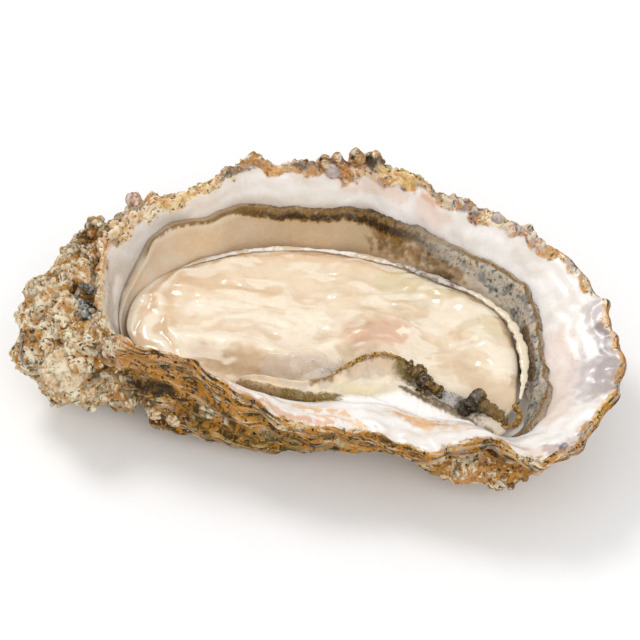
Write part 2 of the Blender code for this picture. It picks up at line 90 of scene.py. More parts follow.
# Cross sections of the shell wall, each at a rim station. Inside: the lip's width and the
# height at its inner end, then the wall's width down to the floor. Outside: how far beyond
# the rim (negative is under it) and how high the shoulder, belly and underside are, and
# how far in the flat foot starts.
SECTIONS = [
    # station, lip, lip height, wall, shoulder, belly, underside, foot
    (0, 13.0, 12.8, 11.0, (-0.5, 17.2), (-5.0, 12.0), (-13.0, 6.5), -24.0),
    (3, 7.0, 16.2, 10.0, (0.5, 19.5), (-3.0, 13.0), (-9.0, 6.5), -19.0),
    (8, 3.6, 21.5, 13.0, (0.2, 26.5), (-2.0, 17.0), (-7.0, 6.5), -15.0),
    (12, 1.8, 23.0, 9.0, (2.5, 25.0), (1.5, 16.0), (-3.0, 6.5), -10.0),
    (15, 2.2, 20.0, 9.0, (4.2, 24.8), (7.6, 15.5), (3.0, 6.5), -9.0),
    (16, 1.2, 17.0, 7.0, (8.5, 22.3), (15.6, 15.4), (11.6, 7.4), -6.0),
    (16.7, 2.0, 18.5, 8.5, (5.4, 21.2), (11.3, 13.2), (9.6, 7.0), -8.0),
    (17.4, 2.0, 20.0, 9.0, (0.9, 20.0), (0.2, 13.0), (-1.8, 6.6), -8.0),
    (18.4, 2.0, 20.0, 9.0, (0.9, 20.3), (1.8, 12.0), (1.5, 5.2), -6.0),
    (19.4, 2.0, 20.0, 9.0, (0.8, 20.5), (1.4, 12.0), (0.8, 4.8), -5.0),
    (22, 8.5, 13.6, 6.0, (0.2, 14.5), (-2.2, 9.0), (-5.8, 3.4), -11.0),
    (24, 11.5, 14.0, 6.0, (-0.4, 13.5), (-4.2, 10.0), (-9.5, 5.0), -14.0),
    (27.0, 9.5, 15.0, 7.0, (-2.2, 17.0), (-4.8, 12.8), (-1.8, 8.4), -14.0),
    (29, 8.0, 14.0, 14.0, (-0.8, 15.0), (-3.6, 11.2), (-6.5, 6.8), -18.0),
    (31, 10.0, 13.4, 13.0, (-0.8, 15.2), (-5.0, 11.5), (-13.0, 6.5), -22.0),
]
WALL_BEND = (0.34, 0.40)  # share of the wall's width and height at its steepest part's end
RIM_THICKNESS = 1.7
FLOOR_HEIGHT = 5.5
FLOOR_DIP = 0.7

# Underside: height at the foot's edge, how far the middle would sag below it, and how much
# the keel rises towards both ends. What would sag below 0 is the flat spot.
FOOT_HEIGHT = 0.9
FOOT_SAG = 1.15
KEEL_RISE = 2.4
KEEL_HALF_LENGTH = 28.0

# Line under the deepest part of the cup that every cross section starts from.
SPINE_SHARE = 0.5
SPINE_Y = -3.0
SPINE_SLOPE = -0.03

# Rim waves: how many round the rim, their phase, and how far they go outward and upward.
RIM_WAVES = [(23, 0.4, 0.35, 0.25), (37, 1.9, 0.30, 0.30), (11, 2.7, 0.25, 0.20)]

# Growth plates on the outside of the shell.
PLATE_SPACING = 4.6
PLATE_HEIGHT = 1.3
PLATE_WAVES = [(3, 1.0, 0.35), (7, 0.2, 0.20), (13, 2.2, 0.10)]
CRUST_SIZE = 4.4
CRUST_HEIGHT = 1.5
HINGE_CRUST_HEIGHT = 1.8

# Near the rim the relief also goes upward: by what share, and how far from the rim.
RIM_LIFT = 0.8
RIM_LIFT_REACH = 5.0

# Growths on the shell's outside: X, Y, Z, radius and height.
LUMPS = [
    (-44.0, -20.0, 15.0, 7.5, 3.4),  # barnacle cluster beside the hinge
    (-53.5, -14.0, 13.5, 6.0, 2.4),  # oval shell on the hinge's end
    (-49.5, -6.0, 20.5, 3.0, 1.2),
    (-45.5, 0.5, 23.0, 2.6, 1.2),
    (-44.5, 8.5, 24.0, 2.4, 1.3),
    (-40.5, 13.0, 25.0, 2.2, 1.1),
    (-34.5, 16.8, 26.5, 2.0, 1.0),
    (-37.9, 15.1, 27.2, 2.2, 2.2),  # single barnacle on the far rim
    (-16.5, 27.5, 28.6, 2.8, 1.5),
    (-0.5, 29.0, 30.2, 2.8, 2.0),
    (6.5, 30.2, 30.2, 2.8, 1.3),
    (13.5, 28.2, 27.8, 2.6, 0.9),
    (22.0, 24.6, 24.6, 2.4, 1.1),
    (27.9, 23.0, 24.0, 2.2, 1.1),
    (34.0, 21.2, 22.8, 2.4, 1.0),
    (39.0, 18.9, 21.8, 2.0, 0.9),
    (28.0, -29.0, 10.0, 3.0, 1.2),
    (34.0, -29.0, 9.7, 3.4, 1.2),
    (40.0, -28.0, 9.3, 2.8, 1.0),
]

# The oyster's body: top edge as seen from above, anticlockwise from the bill end.
BODY_EDGE = [
    (37.4, -8.0, 13.4),
    (37.2, -2.0, 13.7),
    (35.7, 2.6, 14.0),
    (33.7, 6.7, 14.5),
    (29.1, 10.9, 14.6),
    (21.5, 14.6, 14.9),
    (13.5, 17.6, 15.1),
    (3.3, 19.5, 15.3),
    (-6.0, 19.9, 15.3),
    (-16.8, 18.0, 15.1),
    (-22.4, 15.4, 15.1),
    (-27.8, 12.6, 15.0),
    (-33.0, 8.8, 14.8),
    (-36.3, 2.8, 14.4),
    (-36.1, -4.2, 14.0),
    (-30.7, -10.0, 13.6),
    (-23.0, -12.0, 13.5),
    (-16.0, -13.4, 13.1),
    (-9.1, -14.4, 12.8),
    (-1.5, -15.4, 12.6),
    (6.7, -15.0, 12.5),
    (16.5, -14.2, 12.5),
    (26.0, -15.0, 12.4),
    (33.0, -16.6, 12.2),
    (37.0, -13.5, 12.9),
]
BODY_TOP = 13.7
BODY_CENTRE_SHARE = 0.3
BODY_CENTRE_Y = 0.5
EDGE_ROUNDING = 1.3
EDGE_START, EDGE_SPAN = 0.85, 0.15  # shares of the way out where the edge rounds off
FLESH_GAP = 0.45

# Folds of the body: height, half width and course from above.
FOLDS = [
    (1.1, 2.0, [(-25.5, -5.8), (-14.3, -5.7), (-4.5, -8.3), (2.5, -4.8), (8.0, -1.5)]),
    (1.2, 4.5, [(9.5, 0.2), (15.5, 0.8)]),
    (-1.1, 2.6, [(-21.0, -10.0), (-8.0, -12.2), (3.0, -11.0)]),
    (0.6, 1.6, [(-28.0, 10.5), (-17.0, 15.2), (-6.0, 17.0), (5.0, 16.2), (14.0, 14.2), (27.0, 9.0)]),
    (0.7, 1.6, [(-32.5, 4.0), (-29.0, 0.5), (-28.0, -4.0)]),
    (0.5, 1.5, [(-28.0, 7.5), (-22.0, 5.5), (-16.0, 7.5), (-8.0, 7.0)]),
    (0.5, 1.7, [(2.0, 8.5), (11.0, 9.0), (20.0, 6.0), (26.0, 5.0)]),
    (-0.6, 1.5, [(18.5, -3.5), (24.0, -2.0), (29.0, -5.5)]),
    (0.5, 1.5, [(29.0, 2.5), (33.0, -2.5), (33.5, -8.0)]),
    (-1.2, 4.6, [(8.5, -11.5), (16.0, -11.5), (25.0, -15.0), (34.0, -17.0)]),
]

# Waves of the far mantle's edge: how many round the rim, their phase and height.
FRILL_WAVES = [(29, 0.3, 0.12), (47, 1.1, 0.10)]

# Near flap of the mantle: beaded fringe on the body, and outer edge on the near lip.
NEAR_MANTLE = [
    ((-13.5, -14.3), (-13.5, -15.0)),
    ((-11.0, -13.9), (-11.0, -15.9)),
    ((-5.0, -14.6), (-5.5, -17.6)),
    ((0.5, -14.0), (1.0, -18.2)),
    ((3.5, -12.4), (4.5, -18.1)),
    ((6.0, -10.0), (7.5, -17.9)),
    ((8.8, -7.4), (10.5, -17.5)),
    ((12.0, -6.2), (14.0, -17.1)),
    ((15.1, -6.6), (17.0, -17.0)),
    ((17.7, -8.2), (19.5, -17.3)),
    ((20.7, -10.3), (22.5, -17.9)),
    ((23.6, -12.5), (25.5, -18.7)),
    ((27.4, -14.2), (28.5, -19.6)),
    ((31.0, -15.0), (31.5, -20.4)),
    ((34.3, -16.4), (34.3, -20.6)),
    ((36.4, -18.4), (36.2, -19.4)),
]
NEAR_STATIONS = 66
NEAR_TIP_STATIONS = 6
NEAR_BOTTOM = 12.9
NEAR_SECTION = [  # share of the way from the fringe to the outer edge, and thickness
    (0.0, 1.7),
    (0.13, 2.1),
    (0.3, 1.2),
    (0.55, 1.3),
    (0.8, 1.4),
    (1.0, 0.7),
]
NEAR_LUMPS = [(31.0, -14.0, 1.8, 2.8), (20.3, -10.8, 2.0, 1.0)]  # X, Y, radius, height

# Middle of the whole's bounding box, which becomes the origin.
MIDDLE = (0.1, 0.5, 0.0)


def through_line(stops, values, where):
    """Smooth open curve through values at stops, read at where."""
    stops = np.asarray(stops, float)
    values = np.asarray(values, float)
    tangent = np.gradient(values, stops, axis=0)
    i = np.clip(np.searchsorted(stops, where, side="right") - 1, 0, len(stops) - 2)
    gap = (stops[i + 1] - stops[i])[:, None]
    u = (np.asarray(where, float) - stops[i])[:, None] / gap
    return (
        (2 * u**3 - 3 * u**2 + 1) * values[i]
        + (u**3 - 2 * u**2 + u) * gap * tangent[i]
        + (3 * u**2 - 2 * u**3) * values[i + 1]
        + (u**3 - u**2) * gap * tangent[i + 1]
    )


def through_loop(stops, values, where):
    """Smooth closed curve through values at stops of a loop of length 1, read at where."""
    stops = np.asarray(stops, float)
    values = np.asarray(values, float)
    wrapped = np.concatenate([stops[-3:] - 1.0, stops, stops[:3] + 1.0])
    around = np.concatenate([values[-3:], values, values[:3]])
    where = np.mod(np.asarray(where, float) - stops[0], 1.0) + stops[0]
    return through_line(wrapped, around, where)


def loop_stops(points):
    """Share of a closed outline's length at which each of its points stands."""
    points = np.array(points)
    steps = np.linalg.norm(np.roll(points, -1, axis=0) - points, axis=1)
    return np.concatenate([[0.0], np.cumsum(steps)[:-1]]) / steps.sum()


def share_of_station(station):
    """Share of the rim's length at a rim station, which may lie between two or before 0."""
    stops = loop_stops(RIM)
    wrapped = np.concatenate([stops - 1.0, stops, [1.0]])
    return np.interp(station, np.arange(-len(RIM), len(RIM) + 1), wrapped)


def line_stops(rows, columns=2):
    """Distance along an open line at which each of its rows stands, by their first columns."""
    steps = np.linalg.norm(np.diff(np.array(rows)[:, :columns], axis=0), axis=1)
    return np.concatenate([[0.0], np.cumsum(steps)])


def smooth_line(rows, count, columns=2):
    """Smooth open line through rows, as evenly spread rows of the same columns."""
    stops = line_stops(rows, columns)
    return through_line(stops, rows, np.linspace(0.0, stops[-1], count))


def rim_at(share):
    """Place of the rim at shares of its length."""
    return through_loop(loop_stops(RIM), RIM, share)


def section_at(share):
    """The columns of SECTIONS as smooth functions of the share of the rim's length."""
    at = share_of_station([row[0] for row in SECTIONS])
    flat = [[*row[1:4], *row[4], *row[5], *row[6], row[7]] for row in SECTIONS]
    return through_loop(at, flat, share)


def waves(share, table):
    """Sum of sine waves round the shell: each row is a count, a phase and a height."""
    return sum(height * np.sin(math.tau * count * share + phase) for count, phase, height in table)


def section_lines(share):
    """Where each cross section starts on the spine, its outward direction, reach and height."""
    rim = rim_at(share)
    start = np.empty((len(rim), 2))
    start[:, 0] = SPINE_SHARE * rim[:, 0]
    start[:, 1] = SPINE_Y + SPINE_SLOPE * start[:, 0]
    out = rim[:, :2] - start
    reach = np.linalg.norm(out, axis=1)
    return start, out / reach[:, None], reach, rim[:, 2]


def spline_rows(knots, steps):
    """Centripetal Catmull-Rom rows through knots (knot, section, 2), with steps between them."""
    first = 2 * knots[0] - knots[1]
    last = 2 * knots[-1] - knots[-2]
    k = np.concatenate([first[None], knots, last[None]])
    rows = [k[1]]
    for i, n in enumerate(steps):
        a, b, c, d = k[i : i + 4]
        t1 = np.linalg.norm(b - a, axis=1, keepdims=True) ** 0.5 + 1e-9
        t2 = t1 + np.linalg.norm(c - b, axis=1, keepdims=True) ** 0.5 + 1e-9
        t3 = t2 + np.linalg.norm(d - c, axis=1, keepdims=True) ** 0.5 + 1e-9
        for s in range(1, n + 1):
            t = t1 + (t2 - t1) * s / n
            p = (t1 - t) / t1 * a + t / t1 * b
            q = (t2 - t) / (t2 - t1) * b + (t - t1) / (t2 - t1) * c
            r = (t3 - t) / (t3 - t2) * c + (t - t2) / (t3 - t2) * d
            pq = (t2 - t) / t2 * p + t / t2 * q
            qr = (t3 - t) / (t3 - t1) * q + (t - t1) / (t3 - t1) * r
            rows.append((t2 - t) / (t2 - t1) * pq + (t - t1) / (t2 - t1) * qr)
    return np.array(rows)


def shell_rows(share, steps):
    """Points of the bare shell, row by row from the cup's floor over the rim to the foot."""
    start, out, reach, height = section_lines(share)
    s = section_at(share)
    lip, lip_height, wall = s[:, 0], s[:, 1], s[:, 2]
    outward = waves(share, [(count, phase, out_by) for count, phase, out_by, up_by in RIM_WAVES])
    upward = waves(share, [(count, phase + 1.0, up_by) for count, phase, out_by, up_by in RIM_WAVES])
    bend_width, bend_height = WALL_BEND
    level = np.zeros_like(reach)
    keel = KEEL_RISE * (start[:, 0] / KEEL_HALF_LENGTH) ** 2
    knots = [
        (level, level + FLOOR_HEIGHT - FLOOR_DIP),
        ((reach - lip - wall) * 0.55, level + FLOOR_HEIGHT - 0.6 * FLOOR_DIP),
        (reach - lip - wall, level + FLOOR_HEIGHT),
        (reach - lip - bend_width * wall, FLOOR_HEIGHT + bend_height * (lip_height - FLOOR_HEIGHT)),
        (reach - lip, lip_height),
        (reach + outward, height + upward),
        (reach + 0.35 * RIM_THICKNESS + outward, height - RIM_THICKNESS + upward),
        (reach + s[:, 3], s[:, 4]),
        (reach + s[:, 5], s[:, 6]),
        (reach + s[:, 7], s[:, 8]),
        (reach + s[:, 9], keel + FOOT_HEIGHT),
        ((reach + s[:, 9]) * 0.45, keel + FOOT_HEIGHT - FOOT_SAG),
        (level, keel + FOOT_HEIGHT - FOOT_SAG),
    ]
    rows = spline_rows(np.array([np.stack(k, axis=1) for k in knots]), steps)
    points = np.empty((len(rows), len(share), 3))
    points[..., :2] = start + rows[..., :1] * out
    points[..., 2] = rows[..., 1]
    return points


def grid_normals(grid):
    """Outward normals of a closed grid whose segments wrap round."""
    down = np.gradient(grid, axis=0)
    along = np.roll(grid, -1, axis=1) - np.roll(grid, 1, axis=1)
    normal = np.cross(down, along)
    return normal / np.maximum(np.linalg.norm(normal, axis=2, keepdims=True), 1e-9)


def ramp(low, high, value):
    """Smooth step from 0 at low to 1 at high."""
    t = np.clip((value - low) / (high - low), 0.0, 1.0)
    return t * t * (3.0 - 2.0 * t)


def noise_at(points, size):
    """Smooth noise with waves of a size, about -1 to 1, at each point."""
    flat = points.reshape(-1, 3) / size
    return np.array([noise.noise(Vector(p)) for p in flat]).reshape(points.shape[:-1])


def bump(distance, radius):
    """A smooth hill: 1 at distance 0, 0 from the radius on."""
    return ramp(0.0, 1.0, 1.0 - distance / radius)


def depth_below_rim(points, rim_row):
    """Distance of each point from the rim along its cross section, negative inside."""
    steps = np.linalg.norm(np.diff(points, axis=0), axis=2)
    along = np.concatenate([np.zeros((1, points.shape[1])), np.cumsum(steps, axis=0)])
    return along - along[rim_row]


def relief_direction(points, rim_row):
    """Outward, and also upward near the rim."""
    near = bump(np.abs(depth_below_rim(points, rim_row)), RIM_LIFT_REACH)
    return grid_normals(points) + near[..., None] * np.array((0.0, 0.0, RIM_LIFT))


def shell_relief(points, share, rim_row):
    """Growth plates, crust and growths: how far each point of the outside stands out."""
    depth = depth_below_rim(points, rim_row)
    phase = depth / PLATE_SPACING + waves(share, PLATE_WAVES)
    turn = phase - np.floor(phase)
    plates = (ramp(0.0, 0.25, turn) - turn - 0.35) * PLATE_HEIGHT
    crust = noise_at(points, CRUST_SIZE) * CRUST_HEIGHT
    hinge = ramp(-30.0, -42.0, points[..., 0])
    crust += hinge * noise_at(points + 40.0, 0.6 * CRUST_SIZE) * HINGE_CRUST_HEIGHT
    height = (plates + crust) * ramp(0.5, 3.5, depth)
    for x, y, z, radius, tall in LUMPS:
        height += tall * bump(np.linalg.norm(points - (x, y, z), axis=2), radius) * ramp(-1.0, 1.0, depth)
    return height * ramp(0.8, 4.0, points[..., 2])


def line_distance(points, line):
    """Distance from each point to a line of corners, flat or in space; one corner is a spot."""
    corners = np.array(line, float)
    if len(corners) == 1:
        return np.linalg.norm(points - corners[0], axis=-1)
    best = np.full(points.shape[:-1], np.inf)
    for a, b in zip(corners, corners[1:]):
        along = np.clip(((points - a) @ (b - a)) / ((b - a) @ (b - a)), 0.0, 1.0)
        gap = points - a - along[..., None] * (b - a)
        best = np.minimum(best, np.linalg.norm(gap, axis=-1))
    return best


def edge_fall(rows):
    """How far the rounding at the body's edge has come: 0 inside, 1 at the edge."""
    return 1.0 - np.sqrt(1.0 - np.clip((rows - EDGE_START) / EDGE_SPAN, 0.0, 1.0) ** 2)


def body_top(points, edge_height, rows):
    """Height of the body's top: its edge, its folds and the rounding at its edge."""
    height = BODY_TOP + (edge_height - BODY_TOP) * ramp(0.5, 1.0, rows)
    for tall, half_width, line in FOLDS:
        height += tall * np.exp(-((line_distance(points[..., :2], line) / half_width) ** 2))
    return height - EDGE_ROUNDING * edge_fall(rows)


def inside_profile(share):
    """The shell's inside at one share of the rim, floor to rim, with its normals."""
    steps = (2, 4, 12, 12, 10, 1, 1, 1, 1, 1, 1, 1)
    shares = share + np.array([-0.002, 0.0, 0.002])
    rows = shell_rows(shares, steps)[: sum(steps[:INSIDE_STEPS]) + 1]
    normal = np.cross(np.gradient(rows[:, 1], axis=0), rows[:, 2] - rows[:, 0])
    return rows[:, 1], normal / np.linalg.norm(normal, axis=1, keepdims=True)


# Colours as the eye reads them, 0 to 255.
CHALK = (247, 243, 238)
SHADE = (206, 190, 180)
SAND = (192, 162, 130)
PEARL = (240, 233, 227)
PEARL_WARM = (231, 219, 205)
PEARL_GREY = (198, 188, 176)
PEARL_PINK = (233, 205, 189)
VIOLET = (136, 120, 120)
VIOLET_PALE = (188, 175, 174)
CREAM = (246, 230, 198)
YELLOW = (232, 196, 110)
OCHRE = (216, 156, 74)
ORANGE = (206, 130, 52)
SALMON = (222, 172, 138)
OLIVE = (114, 96, 14)
OLIVE_DARK = (74, 62, 20)
BROWN = (108, 60, 8)
BROWN_DARK = (60, 36, 8)
BLACK_GREEN = (34, 30, 16)
GREY = (134, 116, 88)
APRICOT = (234, 182, 120)
INDIGO = (78, 66, 84)

SHELL_COLUMNS = 900
SHELL_FINE_STEPS = (1, 3, 6, 20, 34, 8, 16, 30, 26, 12, 8, 2)
INSIDE_STEPS = 5  # how many of the steps lie inside the rim

# Crust that creeps over the rim onto the inside: rim station and width.
LIP_CRUST = [
    (0.0, 0.5),
    (2.0, 1.2),
    (3.5, 2.2),
    (5.0, 2.6),
    (6.0, 1.8),
    (7.0, 2.4),
    (8.2, 4.6),
    (9.0, 2.6),
    (10.0, 1.8),
    (11.0, 2.2),
    (12.5, 2.4),
    (14.5, 3.0),
    (16.0, 2.4),
    (17.2, 0.8),
    (19.0, 0.4),
    (21.0, 0.5),
    (24.0, 0.3),
    (27.0, 0.5),
    (29.0, 0.4),
    (31.0, 0.3),
]
LIP_RAGGED = 1.1

# Thin flakes of the outside: spacing, height, and how far they wander.
FLAKE_SPACING = 1.15
FLAKE_HEIGHT = 0.42
FLAKE_WANDER = 1.6
KNOB_SIZE = 2.3
KNOB_HEIGHT = 0.9
GRAIN_SIZE = 1.15
GRAIN_HEIGHT = 0.45

# Patches of colour on the knobs: ink and strength, and their size.
KNOB_INKS = [(OLIVE, 0.4), (GREY, 0.15), (BROWN, 0.45), (ORANGE, 0.5), (YELLOW, 0.6), (CREAM, 0.8)]
KNOB_PATCH = 3.2

# Hollow beside the hinge, where crystals grow: its course, radius and depth.
PIT = [(-44.6, -4.4, 22.6), (-41.8, -6.4, 21.8), (-41.9, -10.4, 21.8)]
PIT_RADIUS = 2.6
PIT_DEPTH = 1.3

# Radial pleats of the growing edge, felt on the lip and outside: how many and how deep.
PLEAT_COUNT = 58
PLEAT_DEPTH = 0.16

# How soft a stroke's edge is, as a share of its half width.
STROKE_SOFT = 0.5


def linear(colour):
    """A colour of 0 to 255 as the eye reads it, in the linear values that a shader takes."""
    c = np.asarray(colour, float) / 255.0
    return np.where(c <= 0.04045, c / 12.92, ((c + 0.055) / 1.055) ** 2.4)


def tint(colours, colour, share):
    """Colours mixed towards one colour, by a share at each point."""
    share = np.clip(share, 0.0, 1.0)[..., None]
    return colours + (linear(colour) - colours) * share


def all_over(colour, grid):
    """One colour at every point."""
    return np.broadcast_to(linear(colour), grid.shape).copy()


def fractal_at(points, size, octaves):
    """Rough noise, of a size and finer ones, at each point."""
    flat = points.reshape(-1, 3) / size
    found = [noise.fractal(Vector(p), 1.0, 2.0, octaves) for p in flat]
    return np.array(found).reshape(points.shape[:-1])


CELL_MIX = (12.99, 78.23, 37.72)  # turns a cell's seed into a number that looks random
CELL_SPREAD = 437.58


def cells_at(points, size):
    """Distance to the nearest seed of a cell pattern, and a number from 0 to 1 for its cell."""
    flat = points.reshape(-1, 3) / size
    found = [noise.voronoi(Vector(p)) for p in flat]
    near = np.array([distances[0] for distances, seeds in found])
    seeds = np.array([seeds[0][:] for distances, seeds in found])
    number = np.modf(np.abs(np.sin(seeds @ CELL_MIX)) * CELL_SPREAD)[0]
    shape = points.shape[:-1]
    return near.reshape(shape), number.reshape(shape)


def brush(points, line, width, ragged):
    """Share of paint at each point from a stroke with a ragged, soft edge."""
    away = line_distance(points, line)
    near = away < width * (1.6 + ragged)
    share = np.zeros(points.shape[:-1])
    if near.any():
        spots = points[near]
        edge = away[near] / width + ragged * fractal_at(spots + 17.0, 0.55 * width + 0.5, 3)
        share[near] = 1.0 - ramp(1.0 - STROKE_SOFT, 1.0 + STROKE_SOFT, edge)
    return share


def grid_faces(rows, columns):
    """Four-sided faces of a grid of points whose columns join up around it."""
    i = np.arange(rows - 1)[:, None] * columns
    j = np.arange(columns)[None, :]
    k = (j + 1) % columns
    return np.stack([i + j, i + columns + j, i + columns + k, i + k], axis=-1).reshape(-1, 4)


def add_piece(name, points, faces, colours, material, slot, node=None, marks=None, growth=None):
    """A shown piece from points in drawn millimetres, with a paint colour at each point.

    Marks are the share of dark speckle or of knobs, at each point or all over, kept in the
    paint's fourth value. Growth is where each point lies among the growth lines.
    """
    mesh = bpy.data.meshes.new(name)
    places = (points.reshape(-1, 3) - MIDDLE) * MM
    mesh.from_pydata(places.tolist(), [], [tuple(face) for face in faces])
    paint = mesh.color_attributes.new("paint", "FLOAT_COLOR", "POINT")
    values = np.ones((len(places), 4), np.float32)
    values[:, :3] = colours.reshape(-1, 3)
    if marks is not None:
        values[:, 3] = np.reshape(marks, -1)
    paint.data.foreach_set("color", values.ravel())
    if growth is not None:
        lines = mesh.attributes.new("growth", "FLOAT_VECTOR", "POINT")
        lines.data.foreach_set("vector", growth.reshape(-1).astype(np.float32))
    mesh.shade_smooth()
    mesh.materials.append(material)
    obj = bpy.data.objects.new(name, mesh)
    bpy.context.scene.collection.objects.link(obj)
    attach(obj, "root")
    if node is not None:
        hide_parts(node)
    return obj


def joined(parts):
    """Points, faces and colours of many shapes, as those of one."""
    points, faces, colours = zip(*parts)
    firsts = np.cumsum([0] + [len(corners) for corners in points])
    faces = [own + first for own, first in zip(faces, firsts)]
    return np.concatenate(points), np.concatenate(faces), np.concatenate(colours)


def with_ends(values):
    """Values of a strip's cross sections, with the first and the last one said twice."""
    return np.concatenate([values[:1], values, values[-1:]])


def add_strip(name, grid, colours, material, slot, node=None, marks=None):
    """A shown strip or tube from its cross sections, drawn together to a point at both ends."""
    tips = with_ends(grid)
    tips[0] = grid[0].mean(axis=0)
    tips[-1] = grid[-1].mean(axis=0)
    if np.ndim(marks) > 0:
        marks = with_ends(marks)
    add_piece(name, tips, grid_faces(*tips.shape[:2]), with_ends(colours), material, slot, node, marks)


def lip_crust_width(share, points):
    """How far the crust reaches inside the rim at each point."""
    table = np.array(LIP_CRUST)
    wide = through_loop(share_of_station(table[:, 0]), table[:, 1:], share)[:, 0]
    return wide * (1.0 + 0.35 * fractal_at(points + 3.0, 6.0, 2)) + LIP_RAGGED * fractal_at(points, 2.2, 3)


def crust_share(points, depth, inside_width):
    """How knobbly the shell is at each point: the hinge and far rim more than the flaky wall."""
    x, y, z = points[..., 0], points[..., 1], points[..., 2]
    hinge = ramp(-29.0, -37.0, x)
    far_rim = ramp(12.0, 17.0, y) * ramp(9.0, 2.0, depth) * ramp(46.0, 38.0, x)
    ledge = ramp(20.0, 26.0, x) * ramp(-20.0, -25.0, y) * ramp(14.0, 10.5, z) * ramp(4.0, 7.0, z)
    outside = np.maximum(np.maximum(hinge, far_rim), np.maximum(ledge, 0.12))
    reach = ramp(-0.4, 0.5, depth + inside_width)
    return outside * reach


def warped(points, size, reach):
    """Points pushed about by smooth noise, so that a pattern read there loses its straight lines."""
    push = np.stack([noise_at(points + shift, size) for shift in (0.0, 31.0, 62.0)], axis=-1)
    return points + reach * push


def domes(points, size, reach, seed):
    """Rounded knobs of a size: height from 0 to 1, and a number for each knob."""
    near, number = cells_at(warped(points + seed, 0.6 * size, reach * size), size)
    return np.sqrt(np.clip(1.0 - (near / 0.78) ** 2, 0.0, 1.0)), number


def fine_relief(points, share, depth, knobbly):
    """Thin flakes, knobs and grain that the solid leaves out."""
    outside = ramp(0.2, 1.6, depth)
    wander = FLAKE_WANDER * fractal_at(points + 60.0, 11.0, 3) + waves(share, PLATE_WAVES)
    phase = depth / FLAKE_SPACING + wander
    turn = phase - np.floor(phase)
    flakes = (ramp(0.0, 0.3, turn) - turn) * FLAKE_HEIGHT
    flakes = flakes * (0.45 + 0.9 * ramp(-0.3, 0.5, fractal_at(points, 5.0, 2)))
    large, number = domes(points, KNOB_SIZE, 0.3, 0.0)
    small, other = domes(points, GRAIN_SIZE, 0.3, 40.0)
    knobs = (large - 0.45) * KNOB_HEIGHT * (0.3 + 0.8 * number)
    knobs += (small - 0.45) * GRAIN_HEIGHT * (0.3 + 0.9 * other)
    knobs = knobs * ramp(-2.2, 0.8, depth) * (1.0 - 0.4 * ramp(28.0, 30.5, points[..., 2]))
    grain = 0.30 * fractal_at(points + 9.0, 1.5, 4)
    relief = flakes * outside * (1.0 - 0.6 * knobbly)
    relief += (knobs + grain) * knobbly
    relief += 0.16 * grain * outside
    pleats = PLEAT_DEPTH * np.sin(math.tau * PLEAT_COUNT * share + 3.0 * noise_at(points, 12.0))
    relief += pleats * bump(np.abs(depth), 3.5) * (1.0 - knobbly)
    pit = bump(line_distance(points, PIT), PIT_RADIUS) * PIT_DEPTH
    return (relief - pit) * ramp(0.4, 3.0, points[..., 2])


def soft_relief(points, share, depth):
    """Low waves of the pearly inside, along and across the growth lines."""
    lip = ramp(-16.0, -4.0, depth)
    steps = 0.16 * fractal_at(points * (1.0, 1.0, 0.4), 6.5, 3)
    rings = 0.07 * np.sin(depth * 1.9 + 4.0 * noise_at(points, 16.0))
    rays = 0.07 * np.sin(math.tau * 34 * share + 5.0 * noise_at(points, 14.0)) * lip
    return (steps + rings * lip + rays) * ramp(0.0, -2.5, depth)


def growth_lines(points, share, depth):
    """Where each point lies among the growth lines: down from the rim, and a little by its place."""
    wander = 0.9 * fractal_at(points + 60.0, 11.0, 3) + 0.8 * waves(share, PLATE_WAVES)
    return np.stack([depth + wander, 0.10 * points[..., 0], 0.10 * points[..., 1]], axis=-1)


def paint_crust(points, growth, knobbly):
    """Colours of the outside: banded wall and golden ochre ground; pale crests and painted shade in the gaps
    are added later, from the relief.
    """
    x, y, z = points[..., 0], points[..., 1], points[..., 2]
    colours = all_over(OCHRE, points)
    coarse = fractal_at(growth * (1.0, 2.0, 2.0), 2.4, 4)
    lines = fractal_at(growth * (1.0, 1.4, 1.4) + 31.0, 0.95, 3)
    patches = fractal_at(points + 70.0, 9.0, 4)
    far = ramp(4.0, 16.0, y)
    bill = ramp(18.0, 40.0, x)
    under = ramp(9.0, 3.5, z)
    near_wall = ramp(-12.0, -18.0, y) * ramp(30.0, 20.0, x)
    low_wall = near_wall * ramp(17.0, 9.0, z)
    colours = tint(colours, OLIVE, 0.75 * ramp(-0.1, 0.45, patches) * (1.0 - 0.5 * far))
    colours = tint(colours, OLIVE, 0.7 * low_wall)
    colours = tint(colours, CREAM, 0.85 * ramp(0.0, 0.45, -coarse) * (1.0 - 0.3 * low_wall))
    colours = tint(colours, BROWN, 0.85 * ramp(0.02, 0.4, coarse) * (1.0 - 0.5 * knobbly))
    banded = 1.0 - 0.75 * knobbly
    colours = tint(colours, BROWN_DARK, 0.75 * ramp(0.10, 0.42, lines) * banded)
    colours = tint(colours, CREAM, 0.7 * ramp(0.10, 0.42, -lines) * banded)
    colours = tint(colours, SALMON, 0.5 * ramp(0.2, 0.7, fractal_at(points + 5.0, 5.5, 3)))
    colours = tint(colours, VIOLET_PALE, 0.75 * np.maximum(0.55 * far, bill) * ramp(-0.2, 0.4, patches))
    colours = tint(colours, PEARL_GREY, 0.6 * under * ramp(-0.3, 0.4, lines))
    return colours


def paint_knobs(colours, points, knobbly):
    """Patches of colour over the knobs."""
    for i, (ink, strength) in enumerate(KNOB_INKS):
        patch = fractal_at(points + 13.0 * i, KNOB_PATCH, 3)
        colours = tint(colours, ink, strength * ramp(0.02, 0.30, patch) * knobbly)
    return colours


